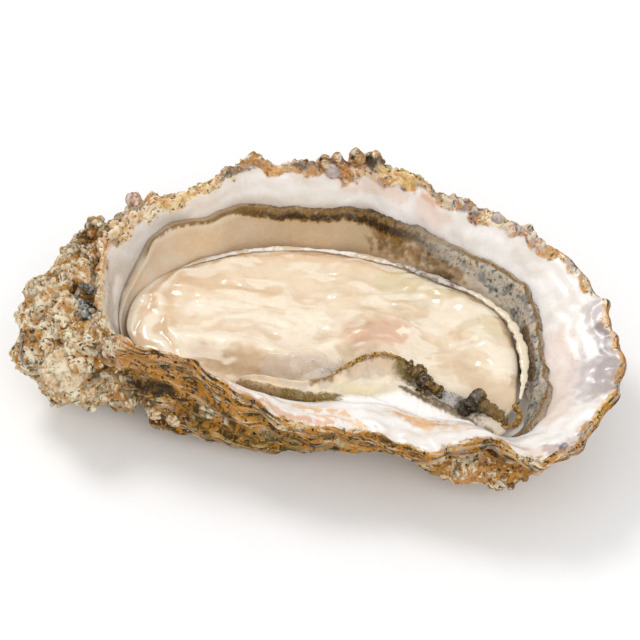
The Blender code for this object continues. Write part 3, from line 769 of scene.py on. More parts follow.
def paint_crest_highlight_and_gap_shade(colours, points, relief, knobbly):
    """Pale crests, palest at the hinge, partly the crust's own cream and partly painted highlight; painted
    shade in the gaps between the knobs.
    """
    hinge = ramp(-33.0, -39.0, points[..., 0])
    lit = ramp(0.02, 0.10, colours.mean(axis=-1))
    # Pale crests: partly the crust's own cream, partly painted highlight on the raised knobs.
    crest_and_highlight = (0.1 + 0.65 * hinge) * lit * ramp(0.05, 0.4, relief)
    colours = tint(colours, CREAM, crest_and_highlight * knobbly)
    # Painted shade in the gaps between the knobs, browner at the hinge.
    gap = ramp(-0.12, -0.42, relief) * knobbly
    colours = tint(colours, BROWN, 0.8 * hinge * gap)
    return tint(colours, BROWN_DARK, (0.9 - 0.5 * hinge) * gap)


class Shader:
    """Builds one node material: the painted colour, mottled, over a Principled shader."""

    def __init__(self, name):
        self.material = bpy.data.materials.new(name)
        self.material.use_nodes = True
        self.tree = self.material.node_tree
        self.surface = self.tree.nodes["Principled BSDF"]
        self.place = self.node("ShaderNodeTexCoord").outputs["Object"]
        self.height = None

    def node(self, kind, **settings):
        made = self.tree.nodes.new(kind)
        for key, value in settings.items():
            setattr(made, key, value)
        return made

    def link(self, source, target):
        self.tree.links.new(source, target)

    def put(self, **values):
        """Sets the shader's own sockets, named with underscores for spaces."""
        for key, value in values.items():
            self.surface.inputs[key.replace("_", " ")].default_value = value

    def paint(self, part="Color"):
        return self.node("ShaderNodeAttribute", attribute_name="paint").outputs[part]

    def growth(self):
        return self.node("ShaderNodeAttribute", attribute_name="growth").outputs["Vector"]

    def rest_of(self, share, most=1.0):
        """What a share leaves of the whole."""
        return self.curve(share, 0.0, 1.0, 1.0, 1.0 - most)

    def both(self, first, second):
        """Product of two shares."""
        made = self.node("ShaderNodeMath", operation="MULTIPLY")
        self.link(first, made.inputs[0])
        self.link(second, made.inputs[1])
        return made.outputs["Value"]

    def grain(self, size, detail=4.0, rough=0.55, kind="noise", twist=0.0, at=None, unit=MM):
        """Noise or cells of a size in millimetres, read at the object's own places unless given."""
        if kind == "noise":
            made = self.node("ShaderNodeTexNoise")
            made.inputs["Detail"].default_value = detail
            made.inputs["Roughness"].default_value = rough
            made.inputs["Distortion"].default_value = twist
            out = made.outputs["Fac"]
        else:
            made = self.node("ShaderNodeTexVoronoi", feature=kind)
            out = made.outputs["Distance"]
        made.inputs["Scale"].default_value = 1.0 / (size * unit)
        self.link(self.place if at is None else at, made.inputs["Vector"])
        return out

    def warped(self, size, reach):
        """Places pushed about by noise of a size, by up to a reach, both in millimetres."""
        wind = self.node("ShaderNodeTexNoise")
        wind.inputs["Scale"].default_value = 1.0 / (size * MM)
        self.link(self.place, wind.inputs["Vector"])
        push = self.node("ShaderNodeVectorMath", operation="SCALE")
        push.inputs["Scale"].default_value = 2.0 * reach * MM
        self.link(wind.outputs["Color"], push.inputs[0])
        total = self.node("ShaderNodeVectorMath", operation="ADD")
        self.link(self.place, total.inputs[0])
        self.link(push.outputs["Vector"], total.inputs[1])
        return total.outputs["Vector"]

    def curve(self, value, low, high, start=0.0, end=1.0):
        """A smooth step from start to end as the value goes from low to high."""
        made = self.node("ShaderNodeMapRange", interpolation_type="SMOOTHSTEP")
        for key, number in zip(("From Min", "From Max", "To Min", "To Max"), (low, high, start, end)):
            made.inputs[key].default_value = number
        self.link(value, made.inputs["Value"])
        return made.outputs["Result"]

    def mixed(self, factor, first, second):
        """The first colour, going over to the second by a factor."""
        made = self.node("ShaderNodeMix", data_type="RGBA")
        self.link(factor, made.inputs["Factor"])
        for socket, value in ((made.inputs[6], first), (made.inputs[7], second)):
            if isinstance(value, tuple):
                socket.default_value = (*linear(value), 1.0)
            else:
                self.link(value, socket)
        return made.outputs[2]

    def rough(self, value):
        self.link(value, self.surface.inputs["Roughness"])

    def bump(self, value, depth):
        """Adds relief of a depth in millimetres on top of what is there."""
        made = self.node("ShaderNodeBump")
        made.inputs["Strength"].default_value = 1.0
        made.inputs["Distance"].default_value = depth * MM
        self.link(value, made.inputs["Height"])
        if self.height is not None:
            self.link(self.height, made.inputs["Normal"])
        self.height = made.outputs["Normal"]

    def done(self, colour):
        self.link(colour, self.surface.inputs["Base Color"])
        if self.height is not None:
            self.link(self.height, self.surface.inputs["Normal"])
        return self.material


# Inks of the materials' fine marks.
CRUST_GOLD = (202, 134, 34)
CRUST_WHITE = (255, 246, 218)
# Painted shade in the crust's small pits.
CRUST_PIT_SHADE = (36, 22, 0)
CRUST_BLOT = (62, 38, 0)
# Pale flecks: partly pale grains, partly painted glints.
CRUST_FLECK_AND_GLINT = (255, 236, 188)
BAND_DARK = (58, 42, 2)
BAND_PALE = (222, 184, 110)
PEARL_CLOUD = (208, 192, 174)
PEARL_VEIN = (226, 205, 180)
STONE_CLOUD = (206, 196, 192)
STONE_SPECK = (70, 52, 40)
FLESH_FIBRE = (246, 236, 218)
EDGE_SPECKLE = (50, 28, 2)
EDGE_GLINT = (226, 210, 180)
EDGE_CLOUD = (238, 226, 208)
CRYSTAL_CLOUD = (196, 202, 206)


def lit_paint(s):
    """Near one where the paint is light, and near nothing in the dark recesses, whose darkness is painted
    shade.
    """
    shade = s.node("ShaderNodeRGBToBW")
    s.link(s.paint(), shade.inputs["Color"])
    return s.curve(shade.outputs["Val"], 0.015, 0.09, 0.08, 1.0)


def add_grit(s, colour, strength, chalk, chalky=None, share=None):
    """Golden and white patches and blots of the crust, dark pits of painted shade, and pale flecks that are
    partly pale grains and partly painted glints.
    """
    lit = lit_paint(s)
    gold = s.curve(s.grain(2.4, 5.0, 0.62, twist=1.4), 0.48, 0.56, 0.0, 0.80 * strength)
    white = s.curve(s.grain(2.6, 5.0, 0.60, twist=1.0), 0.52, 0.58, 0.0, chalk)
    cells = s.grain(1.2, kind="F1", at=s.warped(0.9, 0.45))
    # Dark pits: painted shade of small holes that the relief leaves out.
    pits = s.curve(cells, 0.34, 0.20, 0.0, 0.95 * strength)
    blots = s.curve(s.grain(1.3, 6.0, 0.66, twist=1.0), 0.44, 0.39, 0.0, 0.90 * strength)
    # Pale flecks: partly pale grains, partly painted glints on the wet crust.
    flecks = s.curve(s.grain(0.5, 5.0, 0.7), 0.60, 0.66, 0.0, 0.60)
    if chalky is not None:
        white = s.both(white, chalky)
    layers = [
        (s.both(gold, lit), CRUST_GOLD),
        (s.both(white, lit), CRUST_WHITE),
        (s.both(pits, s.curve(s.grain(2.6, 3.0), 0.48, 0.58)), CRUST_PIT_SHADE),
        (blots, CRUST_BLOT),
        (s.both(flecks, lit), CRUST_FLECK_AND_GLINT),
    ]
    for mask, ink in layers:
        shown = mask if share is None else s.both(mask, share)
        colour = s.mixed(shown, colour, ink)
    return colour


def pearl_material():
    """Smooth pearly lining: soft clouds, fine growth wrinkles, a wet gloss."""
    s = Shader("pearl")
    clouds = s.curve(s.grain(7.0, 5.0, 0.6, twist=0.6), 0.42, 0.72, 0.0, 0.42)
    colour = s.mixed(clouds, s.paint(), PEARL_CLOUD)
    veins = s.curve(s.grain(1.6, 6.0, 0.7, twist=1.2), 0.58, 0.80, 0.0, 0.28)
    colour = s.mixed(veins, colour, PEARL_VEIN)
    colour = add_grit(s, colour, 0.9, 0.45, share=s.paint("Alpha"))
    s.rough(s.curve(s.grain(3.2, 4.0), 0.3, 0.7, 0.22, 0.42))
    s.bump(s.grain(2.4, 5.0, 0.6, twist=0.4), 0.16)
    s.bump(s.grain(0.45, 3.0, 0.6), 0.03)
    s.put(Coat_Weight=0.45, Coat_Roughness=0.09, Subsurface_Weight=0.12, Subsurface_Scale=0.0015)
    s.put(Subsurface_Radius=(1.0, 0.8, 0.65), Specular_IOR_Level=0.55)
    return s.done(colour)


def crust_material(name="crust", banded=True):
    """Rough outside: growth lines on the wall, white patches and painted shade of dark pits on the knobs."""
    s = Shader(name)
    colour = s.paint()
    if banded:
        knobs = s.paint("Alpha")
        wall = s.rest_of(knobs, 0.8)
        lines = s.grain(0.62, 5.0, 0.62, twist=0.3, at=s.growth(), unit=1.0)
        dark = s.both(s.curve(lines, 0.50, 0.58, 0.0, 0.95), wall)
        colour = s.mixed(dark, colour, BAND_DARK)
        pale = s.both(s.curve(lines, 0.44, 0.35, 0.0, 0.75), s.both(wall, lit_paint(s)))
        colour = s.mixed(pale, colour, BAND_PALE)
        colour = add_grit(s, colour, 1.0, 0.92, s.rest_of(wall))
    else:
        colour = add_grit(s, colour, 0.4, 0.5)
    s.rough(s.curve(s.grain(1.1, 4.0), 0.35, 0.65, 0.38, 0.72))
    s.bump(s.grain(1.0, 6.0, 0.72), 0.45)
    s.bump(s.grain(0.45, 5.0, 0.7), 0.22)
    s.put(Coat_Weight=0.08, Coat_Roughness=0.12, Specular_IOR_Level=0.2)
    return s.done(colour)


def stone_material():
    """Smooth worn pebbles and closed shells: cloudy, with fine dark specks."""
    s = Shader("stone")
    clouds = s.curve(s.grain(1.6, 5.0, 0.6, twist=0.6), 0.42, 0.68, 0.0, 0.45)
    colour = s.mixed(clouds, s.paint(), STONE_CLOUD)
    specks = s.curve(s.grain(0.5, 5.0, 0.7), 0.58, 0.66, 0.0, 0.5)
    colour = s.mixed(specks, colour, STONE_SPECK)
    s.rough(s.curve(s.grain(1.0, 3.0), 0.3, 0.7, 0.22, 0.45))
    s.bump(s.grain(0.9, 4.0, 0.6), 0.10)
    s.put(Coat_Weight=0.3, Coat_Roughness=0.10, Specular_IOR_Level=0.35)
    return s.done(colour)


def flesh_material(name, depth, cloud, cloud_share, roughness):
    """Wet, faintly translucent flesh under a clear film of liquor."""
    s = Shader(name)
    clouds = s.curve(s.grain(3.0, 5.0, 0.6, twist=1.0), 0.40, 0.70, 0.0, cloud_share)
    colour = s.mixed(clouds, s.paint(), cloud)
    fibres = s.curve(s.grain(0.8, 5.0, 0.65, twist=0.8), 0.55, 0.80, 0.0, 0.14)
    colour = s.mixed(fibres, colour, FLESH_FIBRE)
    s.rough(s.curve(s.grain(2.2, 4.0), 0.3, 0.7, roughness - 0.08, roughness + 0.10))
    s.bump(s.grain(3.4, 2.0, 0.5, twist=0.8), depth)
    s.bump(s.grain(0.9, 2.0, 0.5), 0.12 * depth)
    s.put(Coat_Weight=0.7, Coat_Roughness=0.06, Subsurface_Weight=0.35, Subsurface_Scale=0.0025)
    s.put(Subsurface_Radius=(1.0, 0.72, 0.45), Specular_IOR_Level=0.4)
    return s.done(colour)


def edge_material(name="mantle_edge", gloss=0.12):
    """Mantle edge: flesh with fine dark speckles and beads."""
    s = Shader(name)
    marks = s.paint("Alpha")
    speckle = s.both(s.curve(s.grain(0.42, 4.0, 0.7), 0.53, 0.62, 0.0, 0.95), marks)
    colour = s.mixed(speckle, s.paint(), EDGE_SPECKLE)
    glints = s.both(s.curve(s.grain(0.5, 3.0, 0.6, twist=0.5), 0.60, 0.68, 0.0, 0.75), marks)
    colour = s.mixed(glints, colour, EDGE_GLINT)
    clouds = s.curve(s.grain(2.4, 4.0, 0.6, twist=0.8), 0.46, 0.76, 0.0, 0.14)
    colour = s.mixed(clouds, colour, EDGE_CLOUD)
    s.rough(s.curve(s.grain(1.0, 4.0), 0.3, 0.7, 0.20, 0.42))
    s.bump(s.grain(0.8, 5.0, 0.6), 0.16)
    s.bump(s.grain(0.3, 3.0, 0.6), 0.05)
    s.put(Coat_Weight=gloss, Coat_Roughness=0.08, Subsurface_Weight=0.15, Subsurface_Scale=0.0012)
    s.put(Subsurface_Radius=(1.0, 0.7, 0.45), Specular_IOR_Level=0.18)
    return s.done(colour)


def film_material(name, colour, alpha):
    """Clear liquor: a faint colour under a sharp gloss."""
    s = Shader(name)
    s.bump(s.grain(1.4, 3.0, 0.5, twist=0.6), 0.10)
    s.rough(s.curve(s.grain(1.0, 3.0), 0.3, 0.7, 0.03, 0.10))
    s.put(Alpha=alpha, Coat_Weight=1.0, Coat_Roughness=0.03, Specular_IOR_Level=0.6)
    shade = s.curve(s.grain(1.8, 4.0, 0.6), 0.4, 0.7)
    return s.done(s.mixed(shade, colour, CHALK))


def crystal_material():
    """Faceted, glassy grains in the hollow beside the hinge."""
    s = Shader("crystal")
    cloudy = s.curve(s.grain(0.7, 4.0, 0.6), 0.42, 0.66, 0.0, 0.6)
    colour = s.mixed(cloudy, s.paint(), CRYSTAL_CLOUD)
    s.rough(s.curve(s.grain(0.9, 3.0), 0.3, 0.7, 0.08, 0.30))
    s.bump(s.grain(0.5, 3.0), 0.05)
    s.put(Coat_Weight=0.8, Coat_Roughness=0.05, Specular_IOR_Level=0.6)
    return s.done(colour)


# Strokes of colour on the pearly inside: colour, strength, half width, raggedness, course.
INSIDE_PAINT = [
    (SHADE, 0.75, 3.4, 0.4, [(42.6, 9.4, 17.0), (45.4, 4.0, 16.4), (46.6, -3.0, 16.0)]),
    # Beige below the far rim: partly a thin line of crust, partly painted shade.
    (SAND, 0.7, 1.6, 0.9, [(-7.0, 27.0, 26.6), (2.0, 27.6, 26.4), (9.4, 27.6, 26.0)]),
    # Warmer, darker far wall: partly the lining's own beige, partly painted shade of the deep wall.
    (PEARL_WARM, 0.8, 5.5, 0.3, [(-29.0, 17.0, 24.0), (-12.0, 24.5, 24.0), (4.0, 25.5, 22.5)]),
    # Grey at the low hinge-end corner of the cup: painted shade.
    (PEARL_GREY, 0.8, 4.6, 0.3, [(-37.5, 5.0, 18.0), (-38.6, -1.0, 15.5), (-36.5, -7.0, 16.0)]),
    (PEARL_GREY, 0.55, 3.4, 0.4, [(-35.0, 11.0, 21.0), (-30.5, 15.5, 23.0)]),
    (CHALK, 0.8, 1.6, 0.4, [(-38.9, 3.5, 17.0), (-38.2, -3.0, 13.6)]),
    (CHALK, 0.8, 3.4, 0.4,
     [(-21.0, 22.6, 25.4), (-10.0, 26.0, 26.2), (0.0, 27.2, 25.6), (11.0, 26.0, 24.5)]),
    (PEARL_PINK, 0.7, 1.8, 0.5, [(2.0, 27.6, 25.6), (7.0, 27.6, 25.8), (12.0, 26.8, 25.4)]),
    (PEARL_PINK, 0.6, 2.2, 0.5, [(17.0, 24.6, 24.0), (20.0, 23.0, 23.0)]),
    (SALMON, 0.8, 0.8, 0.6, [(16.4, 25.8, 26.4), (18.4, 25.0, 25.6)]),
    # Grey on the far wall towards the bill: painted shade.
    (PEARL_GREY, 0.5, 3.6, 0.4, [(26.2, 20.4, 21.8), (33.0, 16.0, 19.4), (39.0, 10.0, 17.0)]),
    (CHALK, 0.85, 3.6, 0.4, [(28.0, 20.5, 22.0), (37.0, 14.0, 19.0), (42.0, 9.0, 18.0)]),
    (CHALK, 0.9, 5.0, 0.4,
     [(46.5, 5.0, 18.5), (48.5, -6.0, 17.0), (46.5, -16.0, 16.0), (42.0, -22.0, 15.4)]),
    (VIOLET_PALE, 0.75, 2.2, 0.8, [(50.8, 4.4, 20.5), (52.0, -1.0, 19.8)]),
    (VIOLET, 0.85, 1.7, 0.7, [(53.4, -0.4, 20.0), (52.4, 1.6, 20.0)]),
    (VIOLET, 0.75, 2.4, 0.9, [(53.6, -5.5, 19.2), (52.6, -9.5, 18.4), (53.0, -13.0, 18.4)]),
    (VIOLET_PALE, 0.7, 3.0, 0.9, [(50.4, -7.0, 18.0), (50.0, -12.6, 17.4)]),
    (VIOLET_PALE, 0.5, 1.6, 0.9, [(48.0, -9.6, 16.6), (47.4, -4.0, 17.0)]),
    (PEARL_PINK, 0.55, 3.2, 0.8, [(44.6, 0.0, 16.0), (45.0, -9.0, 14.6), (44.0, -16.0, 14.0)]),
    (YELLOW, 0.7, 0.8, 0.6, [(53.0, -16.4, 18.4), (51.6, -20.6, 17.8), (49.6, -24.0, 17.6)]),
    (INDIGO, 0.95, 1.2, 0.6, [(43.6, -26.8, 16.6), (45.8, -27.2, 17.2)]),
    (PEARL_PINK, 0.7, 1.0, 0.6, [(35.0, -27.6, 18.6), (40.0, -27.8, 17.0), (44.0, -27.0, 16.6)]),
    (VIOLET_PALE, 0.6, 1.0, 0.7, [(47.5, -25.4, 17.2), (50.2, -21.0, 17.4)]),
    (CHALK, 0.9, 3.0, 0.3,
     [(-8.0, -22.6, 16.8), (2.0, -23.4, 16.0), (12.0, -22.0, 15.0), (24.0, -23.6, 16.0)]),
    (CHALK, 0.9, 1.4, 0.3,
     [(-30.0, -16.6, 22.6), (-22.0, -18.6, 22.4), (-14.0, -21.4, 20.4), (-8.0, -23.8, 18.6)]),
    (APRICOT, 0.85, 0.7, 1.4, [(-1.6, -22.0, 16.0), (4.0, -22.6, 15.8), (8.0, -23.0, 15.6)]),
    (APRICOT, 0.7, 0.6, 1.4, [(3.0, -24.6, 16.8), (9.0, -25.0, 16.6), (13.0, -26.2, 16.2)]),
    (APRICOT, 0.9, 1.1, 1.5, [(16.0, -20.6, 14.8), (20.0, -22.0, 15.4), (24.0, -23.4, 16.0)]),
    (ORANGE, 0.55, 0.7, 1.7, [(17.0, -21.6, 15.0), (21.0, -23.4, 15.8), (25.0, -24.6, 16.8)]),
    (APRICOT, 0.7, 1.0, 1.6, [(21.0, -23.8, 16.0), (25.0, -25.0, 17.0), (28.6, -25.6, 17.8)]),
    (SALMON, 0.75, 0.8, 0.7, [(-37.5, -13.4, 24.2), (-33.0, -17.4, 24.0), (-24.0, -19.0, 23.8)]),
    (SALMON, 0.85, 1.0, 0.8, [(-20.0, -20.2, 23.2), (-13.6, -23.4, 21.0), (-8.0, -25.2, 19.6)]),
    (SALMON, 0.85, 1.0, 0.9, [(-8.0, -25.2, 19.6), (-2.0, -26.2, 18.0), (5.0, -26.4, 17.4)]),
    (ORANGE, 0.7, 1.5, 0.7, [(-40.6, 8.6, 26.0), (-42.4, 3.0, 25.0), (-41.4, -0.6, 23.4)]),
    (YELLOW, 0.6, 1.2, 0.9, [(-41.4, 0.4, 22.6), (-40.8, -3.6, 21.6)]),
]

# Strokes of colour on the outside of the shell.
OUTSIDE_PAINT = [
    (BROWN_DARK, 0.8, 1.0, 0.6,
     [(-31.6, -19.0, 22.4), (-26.6, -20.8, 21.6), (-19.8, -22.6, 17.6), (-12.4, -26.0, 15.6)]),
    (SALMON, 0.7, 1.2, 0.6, [(-33.4, -18.4, 24.0), (-27.0, -20.6, 23.6), (-20.4, -21.8, 22.0)]),
    (OCHRE, 0.7, 2.0, 0.7, [(-36.0, -17.6, 22.0), (-30.0, -20.6, 20.0), (-23.0, -22.6, 17.0)]),
    (ORANGE, 0.55, 1.4, 0.8, [(-24.0, -21.6, 15.6), (-16.0, -24.6, 12.4), (-8.0, -26.6, 9.6)]),
    (OLIVE_DARK, 0.75, 2.6, 0.8, [(-22.0, -22.4, 12.6), (-13.0, -24.6, 9.6), (-4.0, -26.4, 8.0)]),
    (OLIVE, 0.7, 3.0, 0.8, [(-12.0, -25.0, 8.0), (0.0, -27.0, 9.0), (10.0, -28.0, 11.0)]),
    # Dark course under the overhanging plate of the near wall: painted shade.
    (BLACK_GREEN, 0.95, 2.0, 0.5, [(-38.2, -19.2, 16.4), (-32.4, -19.6, 15.4), (-25.6, -20.8, 15.4)]),
    (BLACK_GREEN, 0.7, 1.3, 0.8, [(-25.6, -20.8, 15.4), (-19.0, -22.8, 13.6), (-14.0, -24.4, 12.4)]),
    (OLIVE_DARK, 0.8, 2.4, 0.7, [(-20.0, -22.6, 11.0), (-10.0, -26.0, 9.0), (-2.0, -27.0, 9.6)]),
    (OLIVE_DARK, 0.7, 2.6, 0.7, [(-40.0, -20.4, 12.6), (-34.0, -20.0, 11.0), (-28.0, -20.6, 9.0)]),
    (GREY, 0.6, 2.0, 0.9, [(-31.0, -20.6, 8.4), (-25.0, -22.6, 7.6)]),
    (CREAM, 0.9, 0.8, 1.6, [(-18.2, -23.4, 14.2), (-14.6, -24.1, 12.6)]),
    (CREAM, 0.8, 0.6, 1.6, [(-11.8, -25.3, 14.4), (-9.0, -26.0, 13.2)]),
    (CREAM, 0.7, 1.4, 0.9, [(-25.6, -21.4, 12.4), (-22.0, -22.8, 10.6)]),
    (BROWN_DARK, 0.85, 1.8, 0.6, [(-37.6, -12.0, 20.2), (-38.6, -15.6, 19.6), (-34.6, -18.6, 20.0)]),
    (SALMON, 0.8, 1.7, 0.5, [(-36.6, -17.4, 21.4), (-31.6, -19.8, 19.6)]),
    (VIOLET_PALE, 0.8, 0.7, 0.5, [(-35.4, -18.6, 20.6), (-31.0, -20.2, 18.2)]),
    (ORANGE, 0.6, 2.4, 0.9, [(-47.0, -9.0, 21.0), (-45.0, -14.0, 20.4), (-42.0, -17.0, 18.0)]),
    (BROWN_DARK, 0.85, 1.9, 0.8, [(-51.0, -1.6, 22.4), (-48.4, 3.6, 23.6), (-45.4, 8.0, 24.8)]),
    (BROWN_DARK, 0.85, 1.6, 0.8, [(-45.4, 8.0, 24.8), (-42.0, 11.6, 26.0), (-38.6, 14.2, 27.0)]),
    (ORANGE, 0.85, 1.5, 0.6, [(-42.6, 6.0, 25.4), (-44.4, 1.6, 23.6), (-46.0, -2.6, 22.8)]),
    (ORANGE, 0.7, 1.3, 0.7, [(-41.4, 9.6, 26.0), (-38.6, 12.8, 26.6)]),
    (CREAM, 0.8, 2.2, 0.9, [(-50.6, -2.6, 21.8), (-48.6, -6.8, 21.6), (-46.6, -11.4, 20.8)]),
    (CREAM, 0.7, 1.6, 0.9, [(-44.6, -14.6, 20.6), (-42.6, -16.6, 19.6), (-39.4, -16.0, 21.0)]),
    (OCHRE, 0.7, 2.2, 0.9, [(-47.0, -2.0, 23.0), (-44.6, 1.0, 23.6)]),
    (CREAM, 0.85, 1.1, 0.6, [(-41.8, 2.6, 24.4), (-41.2, -0.6, 23.2), (-40.6, -3.2, 21.8)]),
    (OLIVE, 0.8, 0.7, 0.7, [(-43.0, 2.2, 24.0), (-42.6, -1.4, 23.0)]),
    # Near-black hollow beside the hinge: partly its own dark green, partly painted shade in the hollow.
    (BLACK_GREEN, 0.97, 1.9, 0.5, PIT),
    (CREAM, 0.85, 3.6, 0.4, [(-45.6, -19.6, 16.4)]),
    (OLIVE, 0.6, 2.2, 0.9, [(-42.0, -20.8, 14.0), (-38.6, -20.0, 13.0)]),
    (BROWN_DARK, 0.85, 2.2, 0.5, [(-52.6, -11.4, 17.0), (-52.2, -17.4, 15.0)]),
    (CREAM, 0.8, 2.4, 0.8, [(-35.0, 15.0, 25.6), (-26.0, 20.4, 27.4), (-21.0, 24.0, 28.4)]),
    (YELLOW, 0.55, 1.6, 0.9, [(-31.0, 17.0, 26.2), (-25.0, 21.6, 27.6)]),
    (BROWN, 0.7, 1.7, 1.4, [(-20.0, 26.0, 28.6), (-10.0, 27.6, 29.2), (0.0, 28.6, 29.6)]),
    (BROWN, 0.7, 1.9, 1.4, [(0.0, 28.6, 29.6), (10.0, 29.2, 29.4), (20.0, 26.4, 27.0)]),
    (BLACK_GREEN, 0.9, 1.7, 0.6, [(-21.6, 25.0, 28.6), (-18.6, 26.4, 29.4)]),
    (BROWN, 0.85, 2.3, 0.6, [(-18.4, 27.2, 30.6), (-16.6, 27.8, 31.4), (-14.8, 27.6, 30.6)]),
    (VIOLET, 0.5, 1.1, 0.7, [(-17.6, 26.4, 29.2), (-15.6, 27.0, 29.2)]),
    (GREY, 0.8, 1.2, 0.6, [(-19.4, 25.6, 28.2), (-16.6, 26.6, 28.0)]),
    (APRICOT, 0.8, 1.6, 0.7, [(-13.4, 26.8, 28.8), (-8.0, 27.6, 28.8)]),
    (SAND, 0.7, 1.6, 0.8, [(-9.0, 27.2, 28.4), (-3.0, 28.0, 28.4)]),
    (BROWN, 0.8, 2.0, 0.8, [(0.0, 29.0, 30.2), (5.0, 29.6, 29.8), (10.0, 29.4, 29.8)]),
    (BROWN_DARK, 0.9, 0.9, 0.8, [(-8.0, 28.0, 29.6), (-3.0, 28.6, 30.2), (1.0, 29.2, 31.0)]),
    (BROWN_DARK, 0.9, 0.9, 0.8, [(1.0, 29.2, 31.0), (5.0, 30.0, 31.0), (9.0, 29.8, 30.6)]),
    (ORANGE, 0.75, 1.4, 0.9, [(1.0, 28.6, 28.4), (4.6, 29.2, 28.4)]),
    (BLACK_GREEN, 0.9, 1.5, 0.8, [(5.0, 29.8, 30.2), (8.6, 29.6, 29.6)]),
    (BROWN_DARK, 0.8, 0.5, 1.0, [(3.0, 28.4, 27.4), (8.0, 28.6, 27.2), (13.0, 27.6, 26.6)]),
    (YELLOW, 0.85, 1.7, 0.7, [(9.0, 29.0, 28.8), (13.0, 28.4, 28.2), (15.6, 27.4, 27.4)]),
    (VIOLET_PALE, 0.8, 1.0, 0.8, [(3.6, 28.0, 26.6), (8.0, 28.0, 26.6), (12.0, 27.4, 26.0)]),
    (GREY, 0.7, 1.5, 0.8, [(16.4, 26.8, 27.4), (18.6, 26.0, 27.0)]),
    (BROWN, 0.8, 1.6, 0.7, [(21.4, 25.2, 26.2), (24.6, 24.2, 25.8), (27.6, 23.2, 25.4)]),
    (VIOLET, 0.85, 1.4, 0.7, [(22.4, 24.6, 25.8), (26.6, 23.4, 25.2)]),
    (CREAM, 0.85, 1.6, 0.6, [(29.6, 22.8, 25.4), (32.4, 21.8, 24.8)]),
    (VIOLET_PALE, 0.9, 2.0, 0.6, [(34.6, 20.8, 24.2), (38.6, 19.0, 23.2)]),
    (BROWN, 0.5, 1.2, 0.8, [(36.4, 20.2, 23.8), (40.4, 18.0, 22.8)]),
    (YELLOW, 0.3, 0.6, 0.9, [(42.0, 16.6, 22.4), (46.4, 12.4, 21.8), (49.4, 8.0, 21.2)]),
    (YELLOW, 0.8, 1.0, 0.6, [(53.4, -15.0, 18.6), (52.0, -20.4, 17.8)]),
    # Dark brown under the near lip at the bill end: painted shadow of the lip's underside.
    (BROWN_DARK, 0.9, 2.2, 0.5, [(27.0, -28.4, 16.6), (31.0, -28.6, 16.6), (35.0, -28.6, 16.0)]),
    (OCHRE, 0.8, 3.0, 0.7, [(25.0, -27.4, 9.4), (32.0, -28.4, 9.0), (40.0, -28.0, 10.4)]),
    (ORANGE, 0.6, 1.6, 0.9, [(27.0, -28.0, 8.6), (31.0, -28.4, 8.0)]),
    (OLIVE_DARK, 0.7, 1.5, 0.9, [(21.0, -27.6, 10.6), (27.6, -28.6, 10.6)]),
    (BROWN, 0.7, 1.2, 0.9, [(35.0, -28.8, 8.0), (41.0, -27.6, 9.0), (44.0, -27.0, 12.0)]),
]


def stroke_over(colours, points, strokes):
    """Paints a table's strokes over the colours, one after another."""
    for ink, strength, width, ragged, line in strokes:
        colours = tint(colours, ink, strength * brush(points, line, width, ragged))
    return colours


def paint_shell(grid, depth, width, growth, fine, knobbly):
    """Colours of the shell, and the share of the crust over the pearly lining."""
    pearl = stroke_over(all_over(PEARL, grid), grid, INSIDE_PAINT)
    crust = paint_crust(grid, growth, knobbly)
    crust = paint_knobs(crust, grid, knobbly)
    crust = stroke_over(crust, grid, OUTSIDE_PAINT)
    # Pale crests, partly painted highlight, and painted shade in the gaps between the knobs.
    crust = paint_crest_highlight_and_gap_shade(crust, grid, fine, knobbly)
    outside = ramp(-0.3, 0.3, depth + np.maximum(width, 0.0))
    return pearl + (crust - pearl) * outside[..., None], outside


def make_shell():
    """The shell's inside and outside, and what the growths on it need to know of it."""
    share = np.arange(SHELL_COLUMNS) / SHELL_COLUMNS
    grid = shell_rows(share, SHELL_FINE_STEPS)
    rim_row = sum(SHELL_FINE_STEPS[:INSIDE_STEPS])
    depth = depth_below_rim(grid, rim_row)
    across = np.broadcast_to(share, grid.shape[:2])
    width = lip_crust_width(across.reshape(-1), grid.reshape(-1, 3)).reshape(grid.shape[:2])
    knobbly = crust_share(grid, depth, width)
    fine = fine_relief(grid, across, depth, knobbly)
    growth = growth_lines(grid, across, depth)
    relief = shell_relief(grid, share, rim_row) + fine + soft_relief(grid, across, depth)
    grid = grid + relief_direction(grid, rim_row) * relief[..., None]
    grid[..., 2] = np.maximum(grid[..., 2], 0.0)
    colours, outside = paint_shell(grid, depth, width, growth, fine, knobbly)
    cup, back = slice(None, rim_row + 1), slice(rim_row, None)
    faces = grid_faces(rim_row + 1, SHELL_COLUMNS)
    pearl = pearl_material()
    add_piece("shell_inside", grid[cup], faces, colours[cup], pearl, "shell", "shell", outside[cup])
    faces = grid_faces(len(grid) - rim_row, SHELL_COLUMNS)
    crust = crust_material()
    marks = knobbly[back]
    add_piece("shell_outside", grid[back], faces, colours[back], crust, "shell", "shell", marks, growth[back])
    return grid, depth, colours, rim_row


ABOVE_ALL = 60.0  # height from which surfaces are looked for downwards

BODY_COLUMNS = 420
BODY_FINE_ROWS = 130
BODY_LOWER_ROWS = 8
BODY_ROW_POWER = 1.25  # rows crowd towards the edge
FAR_ROUNDING = 0.7  # the body's edge is rounded less on the far side
LEFT_FOLD_WIDTH = 3.8  # folds that run round the hinge end of the body
LEFT_FOLD_HEIGHT = 0.24
BODY_CLOUD = (222, 196, 160)
FLESH_CREAM = (234, 214, 186)
FLESH_WHITE = (247, 236, 217)
FLESH_BEIGE = (206, 176, 140)
